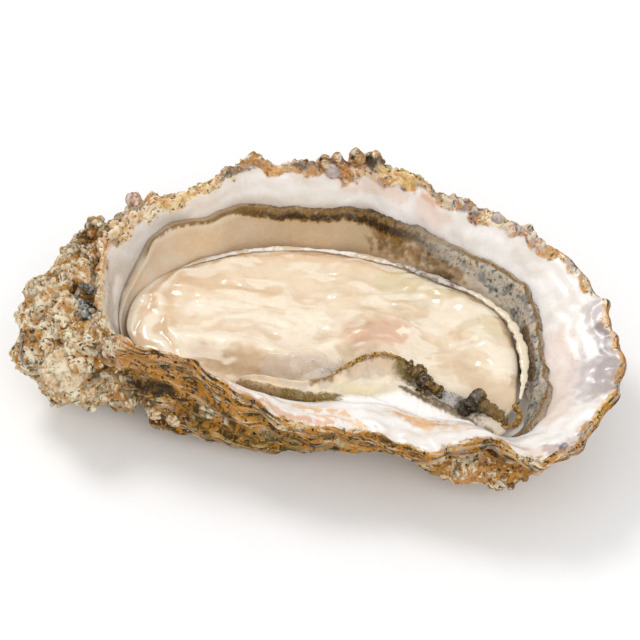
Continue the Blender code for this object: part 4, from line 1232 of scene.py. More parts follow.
# Darker beige of the flesh's hollows and creases: painted shade.
FLESH_HOLLOW_SHADE = (178, 144, 102)
FLESH_PEACH = (222, 188, 150)
FLESH_PINK = (216, 174, 146)
FLESH_GREEN = (214, 204, 164)
FLESH_OLIVE = (120, 98, 38)
MANTLE_BEIGE = (204, 178, 142)
MANTLE_LEFT = (226, 204, 174)
MANTLE_PALE = (214, 200, 182)
LINE_OCHRE = (134, 94, 12)
LINE_DARK = (46, 26, 2)
LAVENDER = (182, 176, 170)
MANTLE_FOOT = (84, 58, 10)

# Strokes of colour on the body as seen from above: ink, strength, half width, ragged, course.
BODY_PAINT = [
    (FLESH_GREEN, 0.7, 3.4, 0.5, [(12.0, 14.0), (20.0, 11.5), (27.0, 8.0), (31.0, 3.0)]),
    (FLESH_PEACH, 0.6, 3.2, 0.4, [(-33.0, 4.0), (-31.0, -1.0), (-29.0, -5.0)]),
    (FLESH_PEACH, 0.5, 2.6, 0.5, [(-26.0, 9.0), (-18.0, 9.5), (-11.0, 9.0)]),
    # White central ridge: partly its own white, partly painted highlight.
    (FLESH_WHITE, 0.9, 1.7, 0.5, [(-26.0, -4.6), (-20.0, -5.2), (-14.0, -4.8), (-5.0, -7.2), (2.0, -4.4)]),
    (FLESH_WHITE, 0.8, 2.4, 0.7, [(-24.0, 2.0), (-14.0, 1.5), (-6.0, 0.0), (0.0, 1.0)]),
    # Painted shade in the hollow below the body's ridge.
    (FLESH_HOLLOW_SHADE, 0.75, 2.2, 0.35, [(-21.0, -9.2), (-13.0, -9.6), (-6.0, -11.4), (0.0, -10.4)]),
    # Thin white streaks on the right: painted highlights.
    (FLESH_WHITE, 0.95, 0.22, 0.5, [(18.4, -3.4), (19.4, -6.0), (20.6, -8.0)]),
    (FLESH_WHITE, 0.9, 0.25, 0.5, [(21.6, -4.2), (22.4, -6.8), (23.8, -9.6)]),
    (FLESH_WHITE, 0.9, 0.2, 0.5, [(25.0, -5.4), (25.6, -8.0), (26.8, -10.8)]),
    # Painted shade in the hollow below the body's ridge.
    (FLESH_HOLLOW_SHADE, 0.75, 1.9, 0.5, [(-19.0, -10.4), (-8.0, -12.4), (-1.0, -12.4)]),
    (FLESH_PINK, 0.85, 3.4, 0.4, [(7.6, -1.2), (12.0, 0.6), (14.6, 0.0)]),
    # Painted shade in the hollow beside the muscle.
    (FLESH_HOLLOW_SHADE, 0.35, 1.2, 0.6, [(3.0, -6.6), (7.0, -4.6), (10.0, -3.4)]),
    # White spot on the muscle: painted highlight.
    (FLESH_WHITE, 0.9, 1.0, 0.7, [(15.4, 0.6), (17.8, 0.2)]),
    (FLESH_WHITE, 0.7, 1.5, 0.7, [(18.0, 9.4), (24.0, 7.4), (29.0, 3.6)]),
    (FLESH_WHITE, 0.7, 1.3, 0.8, [(30.0, 2.0), (33.4, -2.0), (34.0, -7.0)]),
    (FLESH_BEIGE, 0.5, 0.8, 0.6, [(14.0, 6.2), (19.0, 5.0), (24.0, 2.6), (28.0, -0.4)]),
    (FLESH_WHITE, 0.6, 1.2, 0.9, [(16.0, -5.2), (20.0, -6.4), (24.0, -8.4)]),
    (FLESH_BEIGE, 0.4, 2.4, 0.7, [(20.0, -2.0), (26.0, -4.0), (30.0, -9.0)]),
    (FLESH_OLIVE, 0.85, 0.75, 0.5,
     [(15.5, 16.6), (21.0, 14.2), (26.5, 12.0), (30.6, 9.4), (34.2, 5.6), (36.2, 1.0)]),
    (FLESH_OLIVE, 0.5, 0.6, 0.6, [(36.4, 0.0), (37.0, -5.0), (36.8, -9.0)]),
    # Painted shade in the crease along the body's far edge.
    (FLESH_HOLLOW_SHADE, 0.7, 0.55, 0.6, [(-26.0, 12.2), (-17.0, 16.2), (-8.0, 18.2), (2.0, 18.4), (12.0, 16.6)]),
    (FLESH_PEACH, 0.6, 1.4, 0.5, [(-29.0, 10.4), (-20.0, 14.6), (-10.0, 17.2), (2.0, 17.4), (12.0, 15.6)]),
]


def body_grid():
    """Points of the body from above, the share of the way out of each row, and the way left."""
    share = np.arange(BODY_COLUMNS) / BODY_COLUMNS
    edge = through_loop(loop_stops(BODY_EDGE), BODY_EDGE, share)
    centre = np.stack([BODY_CENTRE_SHARE * edge[:, 0], np.full(len(edge), BODY_CENTRE_Y)], axis=1)
    top_rows = 1.0 - (1.0 - np.linspace(0.0, 1.0, BODY_FINE_ROWS)) ** BODY_ROW_POWER
    rows = np.concatenate([top_rows, np.linspace(1.0, 0.0, BODY_LOWER_ROWS + 1)[1:]])[:, None]
    grid = np.zeros((len(rows), len(share), 3))
    grid[..., :2] = centre + rows[..., None] * (edge[:, :2] - centre)
    return grid, rows, edge[:, 2], (1.0 - rows) * np.linalg.norm(edge[:, :2] - centre, axis=1)


def make_body(shell_tree):
    """The body: its folds, fine ripples that run along it, and folds round its hinge end."""
    grid, rows, edge_height, inward = body_grid()
    top = body_top(grid, edge_height, rows)
    far_side = ramp(-2.0, 6.0, grid[..., 1])
    top = top + (EDGE_ROUNDING - FAR_ROUNDING) * far_side * edge_fall(rows)
    flat = grid * (1.0, 1.0, 0.0)
    stream = warped(flat, 9.0, 2.6) * (0.34, 1.0, 1.0)
    ripple = 0.30 * fractal_at(stream, 3.2, 3) + 0.22 * fractal_at(flat + 30.0, 5.0, 2)
    pleat = np.sin(flat[..., 0] * 1.5 + 3.0 * noise_at(flat, 7.0)) * ramp(6.0, 20.0, flat[..., 0])
    ripple += 0.05 * pleat
    turn = inward / LEFT_FOLD_WIDTH + 0.9 * noise_at(flat + 80.0, 6.0)
    left = ramp(-22.0, -29.0, grid[..., 0]) * ramp(11.0, 5.0, inward)
    folds = np.cos(math.tau * turn) * left
    ripple += LEFT_FOLD_HEIGHT * folds
    grid[..., 2] = top + ripple * ramp(1.0, 0.93, rows)
    lowest = height_at([shell_tree], grid[BODY_FINE_ROWS:]) + FLESH_GAP
    grid[BODY_FINE_ROWS:, :, 2] = np.minimum(lowest, grid[BODY_FINE_ROWS - 1, :, 2] - 0.1)
    colours = flat_strokes(all_over(FLESH_CREAM, grid), grid, BODY_PAINT)
    colours = tint(colours, FLESH_BEIGE, 0.4 * ramp(0.0, 0.5, fractal_at(stream + 11.0, 4.4, 3)))
    colours = tint(colours, FLESH_WHITE, 0.65 * ramp(0.0, 0.22, fractal_at(stream + 50.0, 3.6, 3)))
    # Paler on the raised ripples: partly whiter flesh, partly painted highlight.
    colours = tint(colours, FLESH_WHITE, 0.3 * ramp(0.0, 0.3, ripple) * (1.0 - left))
    colours = tint(colours, FLESH_PEACH, 0.6 * ramp(0.1, -0.8, folds))
    # White on the crests of the folds round the hinge end: painted highlight.
    colours = tint(colours, FLESH_WHITE, 0.5 * ramp(0.3, 0.9, folds))
    material = flesh_material("body_flesh", 0.06, BODY_CLOUD, 0.26, 0.24)
    faces = grid_faces(*grid.shape[:2])
    return add_piece("body_flesh", grid, faces, colours, material, "oyster_body", "oyster_body")


def flat_brush(points, line, width, ragged):
    """Share of paint from a stroke whose course is given as seen from above."""
    return brush(points * (1.0, 1.0, 0.0), [(*place, 0.0) for place in line], width, ragged)


def flat_strokes(colours, points, strokes):
    """Paints strokes whose courses are given as seen from above."""
    for ink, strength, width, ragged, line in strokes:
        colours = tint(colours, ink, strength * flat_brush(points, line, width, ragged))
    return colours


def height_at(trees, points):
    """Height of the highest face under each point of an array, in drawn millimetres."""
    found = np.zeros(points.shape[:-1])
    for index in np.ndindex(found.shape):
        x, y = points[index][:2]
        start = Vector((x, y, ABOVE_ALL))
        hits = [tree.ray_cast(start, Vector((0, 0, -1)))[0] for tree in trees]
        found[index] = max([hit.z for hit in hits if hit is not None] + [0.0])
    return found


def tree_of(grid, faces):
    """A searchable surface from a grid of points."""
    corners = [Vector(p) for p in grid.reshape(-1, 3)]
    return BVHTree.FromPolygons(corners, faces.tolist())


FAR_FINE_STATIONS = 760
FAR_FINE_PARTS = 32

# Mantle on the far wall and round the bill: rim station, height of its lower edge in the
# groove beside the body, and height of its dark edge on the wall.
FAR_FLESH = [
    (-3.4, 11.6, 12.8),
    (-2.4, 10.0, 12.9),
    (-1.6, 9.2, 12.9),
    (-0.8, 8.8, 13.1),
    (0.0, 8.6, 13.3),
    (1.0, 8.8, 14.2),
    (2.0, 9.2, 15.6),
    (3.0, 9.6, 17.0),
    (4.0, 9.8, 18.2),
    (5.0, 10.0, 19.4),
    (6.0, 10.6, 20.3),
    (8.0, 11.2, 21.0),
    (10.0, 11.0, 21.2),
    (12.0, 10.5, 22.0),
    (13.0, 11.0, 22.6),
    (13.7, 11.4, 21.6),
    (14.2, 11.2, 19.0),
    (14.7, 11.0, 16.6),
    (15.2, 10.8, 14.8),
    (15.7, 10.6, 13.4),
    (16.1, 10.4, 12.2),
]
FAR_FLESH_SECTION = [  # share of the way up from the lower edge, and thickness
    (0.0, 0.7),
    (0.3, 1.1),
    (0.75, 1.15),
    (0.92, 1.5),
    (1.0, 1.2),
]

# Dark edge of the far mantle: rim station, how far it reaches down, and how grey it is.
EDGE_BAND = [
    (-3.4, 5.0, 1.0),
    (-1.0, 6.5, 1.0),
    (0.5, 7.0, 1.0),
    (2.0, 7.0, 1.0),
    (3.5, 5.6, 1.0),
    (5.0, 3.8, 0.8),
    (5.8, 3.4, 0.3),
    (7.0, 3.2, 0.0),
    (8.5, 2.3, 0.0),
    (10.0, 2.1, 0.0),
    (10.8, 1.7, 0.0),
    (11.4, 0.75, 0.0),
    (12.5, 0.5, 0.0),
    (14.0, 0.3, 0.0),
    (14.5, 0.02, 0.0),
    (16.1, 0.02, 0.0),
]


def strip_rows(profile, count):
    """A strip's shares and thicknesses, spread evenly and smooth."""
    table = np.array(profile)
    shares = np.linspace(0.0, 1.0, count)
    return shares, through_line(table[:, 0], table[:, 1:], shares)[:, 0]


def laid_section(share, heights, depth):
    """A cross section laid on the shell's inside: its back, then its front from the top down."""
    points, normals = inside_profile(share)
    climb = np.maximum.accumulate(points[:, 2]) + 1e-6 * np.arange(len(points))
    index = np.arange(len(points))
    at = np.interp(heights, climb, index)
    on = np.stack([np.interp(at, index, points[:, k]) for k in range(3)], axis=1)
    out = np.stack([np.interp(at, index, normals[:, k]) for k in range(3)], axis=1)
    return np.concatenate([on + out * 0.15, (on + out * depth[:, None])[::-1]])


def make_far_mantle():
    """The far mantle, laid on the shell's inside, with its frilled edge."""
    table = np.array(FAR_FLESH)
    stops = share_of_station(table[:, 0])
    shares = np.linspace(stops[0], stops[-1], FAR_FINE_STATIONS)
    edges = through_line(stops, table[:, 1:], shares)
    part_way = np.linspace(0.0, 1.0, FAR_FINE_STATIONS)
    grow = ramp(-0.01, 0.07, part_way) * ramp(1.01, 0.88, part_way)
    parts, thick = strip_rows(FAR_FLESH_SECTION, FAR_FINE_PARTS)
    band, grey = edge_band(shares)
    sections = []
    for share, (low, high), full, pale in zip(shares, edges, grow, grey[:, 0]):
        high += waves(share, FRILL_WAVES) * full
        depth = 0.3 + (FLESH_GAP + thick * (1.0 - 0.3 * pale)) * full
        sections.append(laid_section(share, low + (high - low) * parts, depth))
    grid = np.array(sections)
    below = edge_drop(grid)
    beads = frill_relief(grid, below, band, grey)
    grid = grid + grid_normals(grid) * beads[..., None]
    colours, marks = paint_far_mantle(grid, below, band, grey)
    add_strip("mantle_far_flesh", grid, colours, edge_material(), "mantle_far", "mantle_far", marks)


def edge_band(shares):
    """How far the mantle's dark edge reaches down, and how grey it is, at shares of the rim."""
    table = np.array(EDGE_BAND)
    values = through_line(share_of_station(table[:, 0]), table[:, 1:], shares)
    return np.maximum(values[:, :1], 0.02), np.clip(values[:, 1:], 0.0, 1.0)


def edge_drop(grid):
    """Distance down from the strip's top edge at each point."""
    count = grid.shape[1] // 2
    return np.linalg.norm(grid - grid[:, count : count + 1], axis=2)


def frill_relief(grid, below, band, grey):
    """Small beads on the dark edge, shallow pleats on the smooth flesh below."""
    near, _ = cells_at(grid, 0.75)
    edge = ramp(band + 0.5, band * 0.5, below)
    beads = 0.26 * ramp(0.8, 0.1, near) * edge * (1.0 - 0.85 * grey) * ramp(0.4, 1.6, band)
    pleats = 0.07 * fractal_at(grid * (1.0, 1.0, 0.35), 1.8, 3)
    lumps = 0.22 * fractal_at(grid + 15.0, 2.6, 3) * grey
    return beads + pleats + lumps


# White inner fold between the body and the far mantle, from above: X, Y, height and half width.
INNER_FOLD = [
    (-29.6, 11.0, 14.9, 0.1),
    (-27.0, 12.6, 15.2, 0.3),
    (-22.0, 15.2, 15.4, 0.45),
    (-16.6, 17.6, 15.5, 0.5),
    (-6.0, 19.4, 15.6, 0.5),
    (3.3, 19.1, 15.6, 0.48),
    (13.5, 17.3, 15.4, 0.5),
    (21.5, 14.5, 15.1, 0.62),
    (29.6, 11.2, 14.7, 0.6),
    (34.2, 7.4, 14.4, 0.72),
    (36.8, 3.0, 14.0, 0.8),
    (38.3, -2.2, 13.6, 0.8),
    (38.6, -7.6, 13.2, 0.7),
    (38.2, -12.2, 12.6, 0.15),
]

# Dark patches and warm blushes of the far mantle: ink, strength, half width, raggedness, course.
FAR_PAINT = [
    (FLESH_PEACH, 0.6, 1.6, 0.8, [(-28.0, 13.6, 18.0), (-20.0, 17.6, 18.4), (-14.0, 19.6, 18.6)]),
    (FLESH_BEIGE, 0.6, 1.8, 0.8, [(-12.0, 20.4, 16.8), (0.0, 21.6, 16.6), (10.0, 20.0, 16.4)]),
    (LINE_DARK, 0.85, 0.8, 1.3, [(7.0, 23.2, 20.4), (10.5, 22.2, 19.8), (14.0, 20.8, 19.2)]),
    (LINE_OCHRE, 0.7, 2.0, 1.2, [(8.0, 21.6, 17.6), (16.0, 19.0, 17.2), (24.0, 15.4, 16.4)]),
    (LINE_DARK, 0.4, 1.0, 1.4, [(9.0, 21.4, 17.4), (17.0, 18.4, 16.8), (24.0, 15.4, 16.2)]),
    (LINE_OCHRE, 0.7, 0.7, 1.3, [(9.0, 22.2, 19.2), (13.5, 20.6, 18.6)]),
    (LINE_DARK, 0.85, 0.45, 1.3, [(18.2, 19.4, 18.8), (19.2, 18.4, 17.4)]),
    (LINE_DARK, 0.8, 0.35, 1.2, [(20.6, 18.0, 18.2), (21.2, 17.4, 17.2)]),
    (LINE_DARK, 0.85, 0.6, 1.0, [(28.0, 14.4, 17.0), (31.0, 12.6, 16.6)]),
    (LINE_DARK, 0.85, 0.6, 0.8, [(35.6, 9.6, 15.6)]),
]
BAND_WHITE = (192, 184, 172)
BAND_BLUE = (128, 126, 120)
BAND_OCHRE = (124, 88, 12)
BAND_FOOT = (92, 62, 14)


def paint_far_flesh(grid):
    """Beige flesh of the far mantle, pale at both ends, with its dark patches."""
    x = grid[..., 0]
    colours = all_over(MANTLE_BEIGE, grid)
    colours = tint(colours, MANTLE_LEFT, ramp(-8.0, -24.0, x))
    colours = tint(colours, MANTLE_PALE, 0.85 * ramp(-27.0, -34.0, x))
    colours = tint(colours, MANTLE_PALE, ramp(8.0, 30.0, x))
    colours = tint(colours, FLESH_BEIGE, 0.35 * ramp(-0.2, 0.5, fractal_at(grid, 5.0, 3)))
    colours = tint(colours, FLESH_PEACH, 0.45 * ramp(0.0, 0.5, fractal_at(grid + 25.0, 6.0, 2)))
    return stroke_over(colours, grid, FAR_PAINT)


def paint_far_mantle(grid, below, band, grey):
    """Flesh under a two-toned brown edge, which turns pale and speckled at the bill."""
    x = grid[..., 0]
    brown = 1.0 - grey
    colours = paint_far_flesh(grid)
    ragged = below + 0.26 * band * fractal_at(grid + 4.0, 1.0, 3)
    streaks = fractal_at(grid * (1.0, 1.0, 0.3) + 8.0, 0.8, 3)
    shown = ramp(0.05, 0.3, band)
    colours = tint(colours, BAND_OCHRE, 0.95 * brown * shown * ramp(1.05 * band, 0.85 * band, ragged))
    dark = 0.15 + 0.75 * ramp(-22.0, -8.0, x)
    core = ramp(0.78 * band, 0.60 * band, ragged) * ramp(0.18 * band, 0.36 * band, ragged)
    colours = tint(colours, LINE_DARK, dark * brown * core)
    drips = ramp(0.05, 0.4, streaks) * ramp(1.35 * band, 0.8 * band, below) * ramp(-4.0, 8.0, x)
    colours = tint(colours, LINE_DARK, 0.85 * drips * brown)
    inside = grey * ramp(band, 0.9 * band, ragged)
    colours = tint(colours, BAND_WHITE, 0.9 * inside)
    clouds = fractal_at(grid + 90.0, 2.2, 4)
    colours = tint(colours, BAND_BLUE, 0.85 * inside * ramp(-0.05, 0.35, clouds))
    colours = tint(colours, MANTLE_BEIGE, 0.5 * inside * ramp(0.1, 0.45, -clouds))
    near, number = cells_at(warped(grid, 0.8, 0.3), 0.85)
    dots = ramp(0.42, 0.26, near) * ramp(0.35, 0.55, number)
    colours = tint(colours, LINE_DARK, 0.9 * inside * dots)
    upper = ramp(0.55, 0.3, below + 0.2 * clouds)
    colours = tint(colours, BAND_OCHRE, 0.9 * grey * upper)
    foot = line_distance(grid, [row[:3] for row in INNER_FOLD])
    lower = ramp(2.5, 1.9, foot + 0.5 * clouds) * ramp(16.0, 24.0, x)
    colours = tint(colours, BAND_FOOT, 0.9 * lower)
    marks = ramp(1.1 * band, 0.8 * band, ragged) * (0.25 + 0.3 * grey) * shown
    return colours, marks


NEAR_FINE_STATIONS = 420
NEAR_FINE_PARTS = 44
NEAR_REACH = 1.2  # how far the flap's outer edge laps over the shell's lip
LIP_BEND = 23.2  # the lip turns away from the flap here, so the flap laps further
BEND_SPAN, BEND_REACH = 9.0, 1.7

SPECKLED_INKS = (FLESH_OLIVE, LINE_DARK, LAVENDER, LINE_OCHRE)  # strokes that carry dark speckle

# Strokes on the near flap as seen from above.
NEAR_PAINT = [
    (LINE_OCHRE, 0.8, 1.0, 0.5, [(-13.0, -15.4), (-5.4, -17.4), (1.0, -18.4), (5.6, -18.2)]),
    (FLESH_OLIVE, 0.9, 0.9, 0.6, [(-4.0, -17.0), (1.0, -17.8), (5.0, -17.6)]),
    (LINE_OCHRE, 0.9, 0.8, 0.5,
     [(0.5, -14.4), (3.4, -12.8), (6.0, -10.4), (8.8, -7.9), (12.0, -6.7), (15.4, -7.2)]),
    (LINE_DARK, 0.5, 0.35, 0.8, [(3.4, -12.9), (6.0, -10.6), (8.8, -8.2), (12.0, -7.0), (15.4, -7.6)]),
    (FLESH_WHITE, 0.35, 2.6, 0.4, [(9.0, -12.6), (14.0, -11.6), (18.0, -13.4)]),
    # Painted shade in the groove of the flap behind its fringe.
    (FLESH_HOLLOW_SHADE, 0.4, 2.0, 0.6, [(7.0, -10.6), (12.0, -9.0), (16.0, -9.8)]),
    (FLESH_GREEN, 0.6, 1.6, 0.5, [(6.0, -14.6), (11.0, -15.6), (17.0, -16.0)]),
    (FLESH_OLIVE, 0.95, 2.2, 0.6, [(17.0, -8.6), (19.6, -11.0), (22.4, -13.6)]),
    (LINE_DARK, 0.7, 1.5, 0.8, [(18.4, -10.4), (21.0, -12.8), (23.0, -14.4)]),
    (LAVENDER, 0.95, 1.5, 0.6, [(23.6, -14.4), (26.0, -15.6), (29.0, -17.2)]),
    (MANTLE_FOOT, 0.8, 0.4, 0.9, [(22.6, -15.6), (25.6, -17.2), (28.6, -18.6)]),
    (LINE_DARK, 0.95, 1.9, 0.5, [(29.0, -16.6), (31.4, -15.6), (32.0, -17.6)]),
    (FLESH_OLIVE, 0.9, 1.3, 0.6, [(31.6, -15.6), (34.4, -17.0), (36.4, -18.6)]),
    (CHALK, 1.0, 1.7, 0.15, [(7.0, -19.4), (12.0, -18.2), (16.4, -16.2), (20.6, -18.0), (25.0, -20.4)]),
    (CHALK, 1.0, 1.4, 0.15, [(25.0, -20.4), (30.0, -22.6), (34.0, -23.6)]),
    (MANTLE_FOOT, 0.85, 0.5, 0.9,
     [(16.8, -13.4), (20.2, -15.4), (23.4, -17.0), (28.6, -19.4), (33.6, -21.4)]),
    (MANTLE_PALE, 0.9, 1.2, 0.6, [(32.0, -19.6), (34.6, -20.2)]),
]


def near_plan():
    """The near flap as seen from above, and its thickness."""
    fringe = np.array([a for a, b in NEAR_MANTLE])
    outer = np.array([b for a, b in NEAR_MANTLE])
    stops = line_stops(fringe)
    where = np.linspace(0.0, stops[-1], NEAR_FINE_STATIONS)
    fringe, outer = through_line(stops, fringe, where), through_line(stops, outer, where)
    parts, profile = strip_rows(NEAR_SECTION, NEAR_FINE_PARTS)
    tip = NEAR_FINE_STATIONS * NEAR_TIP_STATIONS / NEAR_STATIONS
    number = np.arange(NEAR_FINE_STATIONS)
    full = np.minimum(1.0, np.minimum(number + 1, NEAR_FINE_STATIONS - number) / tip)
    plan = fringe[:, None] + (outer - fringe)[:, None] * parts[None, :, None]
    aside = (outer - fringe) / np.linalg.norm(outer - fringe, axis=1, keepdims=True)
    along = outer[:, :1]
    reach = NEAR_REACH * ramp(4.0, 9.0, along) + BEND_REACH * bump(np.abs(along - LIP_BEND), BEND_SPAN)
    reach = reach * ramp(0.8, 1.0, parts)[None, :]
    plan = plan + aside[:, None] * reach[..., None]
    thick = np.sqrt(full)[:, None] * profile[None, :]
    for x, y, radius, tall in NEAR_LUMPS:
        thick = thick + tall * bump(np.linalg.norm(plan - (x, y), axis=2), radius)
    flat = np.concatenate([plan, np.zeros(plan.shape[:2] + (1,))], axis=2)
    thick = thick + (0.24 * fractal_at(flat, 1.7, 4) + 0.2 * fractal_at(flat + 8.0, 4.0, 3)) * full[:, None]
    ends = ramp(0.0, 0.03, parts) * ramp(1.0, 0.97, parts)
    return plan, np.maximum(thick, 0.15) * (0.25 + 0.75 * ends)


def make_near_mantle(trees):
    """The near flap, laid on the body and the shell's lip."""
    plan, thick = near_plan()
    bottom = np.maximum(height_at(trees, plan) + 0.05, NEAR_BOTTOM - 0.6)
    base = np.maximum(bottom, NEAR_BOTTOM)
    under = np.concatenate([plan, (base - 0.5)[..., None]], axis=2)
    top = np.concatenate([plan, (base + thick)[..., None]], axis=2)
    grid = np.concatenate([under, top[:, ::-1]], axis=1)
    colours = tint(all_over(FLESH_CREAM, grid), MANTLE_PALE, ramp(-0.2, 0.4, fractal_at(grid, 3.0, 3)))
    colours = flat_strokes(colours, grid, NEAR_PAINT)
    marks = np.zeros(grid.shape[:2])
    for ink, _, width, ragged, line in NEAR_PAINT:
        if ink in SPECKLED_INKS:
            marks = np.maximum(marks, 0.7 * flat_brush(grid, line, width, ragged))
    add_strip("mantle_near_flesh", grid, colours, edge_material(), "mantle_near", "mantle_near", marks)


def tube_grid(course, radii, columns, flat):
    """Rings of a tube along a course, with a radius for each point; flat is its height's share."""
    course = np.asarray(course, float)
    ahead = np.gradient(course, axis=0)
    ahead /= np.linalg.norm(ahead, axis=1, keepdims=True)
    side = np.cross(ahead, (0.0, 0.0, 1.0))
    side /= np.linalg.norm(side, axis=1, keepdims=True)
    up = np.cross(side, ahead)
    angle = np.arange(columns) / columns * math.tau
    ring = np.cos(angle)[None, :, None] * side[:, None] + flat * np.sin(angle)[None, :, None] * up[:, None]
    return course[:, None] + ring * np.asarray(radii)[:, None, None]


FOLD_POINTS, FOLD_COLUMNS, FOLD_FLATNESS = 420, 14, 0.55
FOLD_WHITE = (244, 234, 226)
FOLD_LINE = (128, 100, 70)
FOLD_CLOUD = (226, 210, 190)


def make_inner_fold():
    """The white fold between the body and the far mantle."""
    line = smooth_line(INNER_FOLD, FOLD_POINTS)
    wobble = 0.22 * fractal_at(line[:, :3], 3.0, 3)
    line[:, 2] += 0.5 * wobble
    line[:, 1] += 0.2 * fractal_at(line[:, :3] + 40.0, 4.0, 3)
    thick = line[:, 3] * (1.0 + 0.8 * fractal_at(line[:, :3], 2.6, 3))
    grid = tube_grid(line[:, :3], thick, FOLD_COLUMNS, FOLD_FLATNESS)
    x = grid[..., 0]
    # The fold's underside is painted darker: beige painted shade, and a brown line along it towards the bill.
    low = ramp(0.05, -0.3, grid[..., 2] - line[:, None, 2])
    colours = tint(all_over(FOLD_WHITE, grid), FLESH_BEIGE, 0.8 * low)
    colours = tint(colours, FOLD_LINE, 0.7 * low * ramp(-22.0, -10.0, x))
    specks = ramp(0.0, 0.3, fractal_at(grid + 5.0, 0.9, 3))
    colours = tint(colours, FLESH_BEIGE, 0.8 * ramp(-0.1, 0.25, fractal_at(grid + 60.0, 3.0, 3)))
    middle = ramp(8.0, 16.0, x) * ramp(30.0, 24.0, x)
    colours = tint(colours, LAVENDER, 0.7 * middle)
    colours = tint(colours, LINE_DARK, 0.7 * specks * middle)
    colours = tint(colours, FLESH_CREAM, ramp(24.0, 30.0, x))
    material = flesh_material("fold_flesh", 0.08, FOLD_CLOUD, 0.3, 0.26)
    add_strip("inner_fold", grid, colours, material, "mantle_far")


# Thin edge of the near mantle along the shell, from above: X, Y and half width.
RIBBON = [
    (-29.4, -9.8, 0.12),
    (-23.4, -12.3, 0.22),
    (-18.4, -14.0, 0.25),
    (-12.6, -15.5, 0.35),
    (-6.9, -16.8, 0.62),
    (-1.3, -17.6, 0.85),
    (3.3, -17.9, 0.8),
    (7.4, -17.4, 0.35),
]
RIBBON_POINTS, RIBBON_COLUMNS, RIBBON_FLATNESS = 300, 16, 0.6
RIBBON_EVENED = 12  # over how many points to each side its height is evened out
RIBBON_GREY = (168, 162, 152)


def make_ribbon(trees):
    """Thin grey edge that turns into a beaded olive strip."""
    line = smooth_line(RIBBON, RIBBON_POINTS)
    plan = line[:, :2]
    height = height_at(trees, plan)
    window = 2 * RIBBON_EVENED + 1
    smooth = np.convolve(np.pad(height, RIBBON_EVENED, mode="edge"), np.ones(window) / window, mode="valid")
    course = np.column_stack([plan, np.maximum(height, smooth) + 0.1])
    thick = line[:, 2] * (1.0 + 0.3 * fractal_at(course, 1.6, 2))
    grid = tube_grid(course, thick, RIBBON_COLUMNS, RIBBON_FLATNESS)
    grid = grid + grid_normals(grid) * (0.12 * fractal_at(grid, 0.6, 3))[..., None]
    mottle = fractal_at(grid, 0.9, 3)
    strip = ramp(-17.0, -11.0, grid[..., 0])
    dark = 0.8 * strip * ramp(-0.05, 0.35, mottle) * ramp(-9.0, -3.0, grid[..., 0])
    colours = tint(all_over(RIBBON_GREY, grid), LINE_OCHRE, 0.85 * strip)
    colours = tint(colours, OLIVE_DARK, dark)
    colours = tint(colours, YELLOW, 0.5 * strip * ramp(0.1, 0.45, -mottle))
    add_strip("near_ribbon", grid, colours, edge_material(), "mantle_near", None, 0.5 * strip)


# Pool of liquor, from above: middle X and Y, half length, half width, turn and thickness.
POOL = (-1.4, -9.2, 8.2, 2.2, 0.12, 0.45)
POOL_RINGS = 36
POOL_COLUMNS = 140
BUBBLE_COUNT = 46
BUBBLE_SEED = 11
LIQUOR_TINT = (238, 231, 226)


def pool_grid(trees):
    """Points of the pool's slightly domed surface."""
    x, y, long, wide, turn, thick = POOL
    angle = np.arange(POOL_COLUMNS) / POOL_COLUMNS * math.tau
    out = np.linspace(0.0, 1.0, POOL_RINGS)[:, None]
    edge = 1.0 + 0.25 * fractal_at(np.stack([np.cos(angle), np.sin(angle), 0 * angle + x], axis=1), 0.8, 3)
    along, across = long * out * edge * np.cos(angle), wide * out * edge * np.sin(angle)
    east = x + along * math.cos(turn) - across * math.sin(turn)
    north = y + along * math.sin(turn) + across * math.cos(turn)
    plan = np.stack([east, north], axis=-1)
    surface = height_at(trees, plan) + thick * (1.0 - out**2) + 0.02
    flat = np.concatenate([plan, 0.0 * plan[..., :1]], axis=-1)
    surface += 0.10 * fractal_at(flat, 1.2, 3) * (1.0 - out**4)
    return np.concatenate([plan, surface[..., None]], axis=-1)


def make_liquor(trees):
    """Clear pool of liquor with small bubbles."""
    film = film_material("liquor", LIQUOR_TINT, 0.22)
    grid = pool_grid(trees)
    faces = grid_faces(*grid.shape[:2])
    add_piece("liquor_film", grid, faces, all_over(LIQUOR_TINT, grid), film, "oyster_body")
    choice = np.random.default_rng(BUBBLE_SEED)
    corners, faces = lump_shape(3)
    x, y, long, wide = POOL[:4]
    spots = choice.normal(0.0, 0.42, (BUBBLE_COUNT, 2)).clip(-0.9, 0.9) * (long, wide) + (x + 2.0, y)
    bubbles = []
    for spot, z in zip(spots, height_at(trees, spots)):
        size = 0.16 + 0.42 * choice.random() ** 3
        bubble = corners * size * (1.0, 1.0, 0.7) + (*spot, z + 0.3)
        bubbles.append((bubble, faces, all_over(LIQUOR_TINT, bubble)))
    add_piece("liquor_bubbles", *joined(bubbles), film, "oyster_body")


CLUMP_OLIVE = (112, 84, 14)
CLUMP_DARK = (40, 26, 2)
CLUMP_GREY = (150, 138, 122)

# Beaded fringe of the near flap.
FRINGE = [
    (-3.0, -15.2, 13.6),
    (0.6, -14.6, 13.9),
    (3.2, -12.9, 14.2),
    (5.8, -10.4, 14.6),
    (8.6, -7.9, 15.0),
    (12.0, -6.6, 15.2),
    (15.2, -7.0, 15.1),
    (17.8, -8.6, 14.9),
]
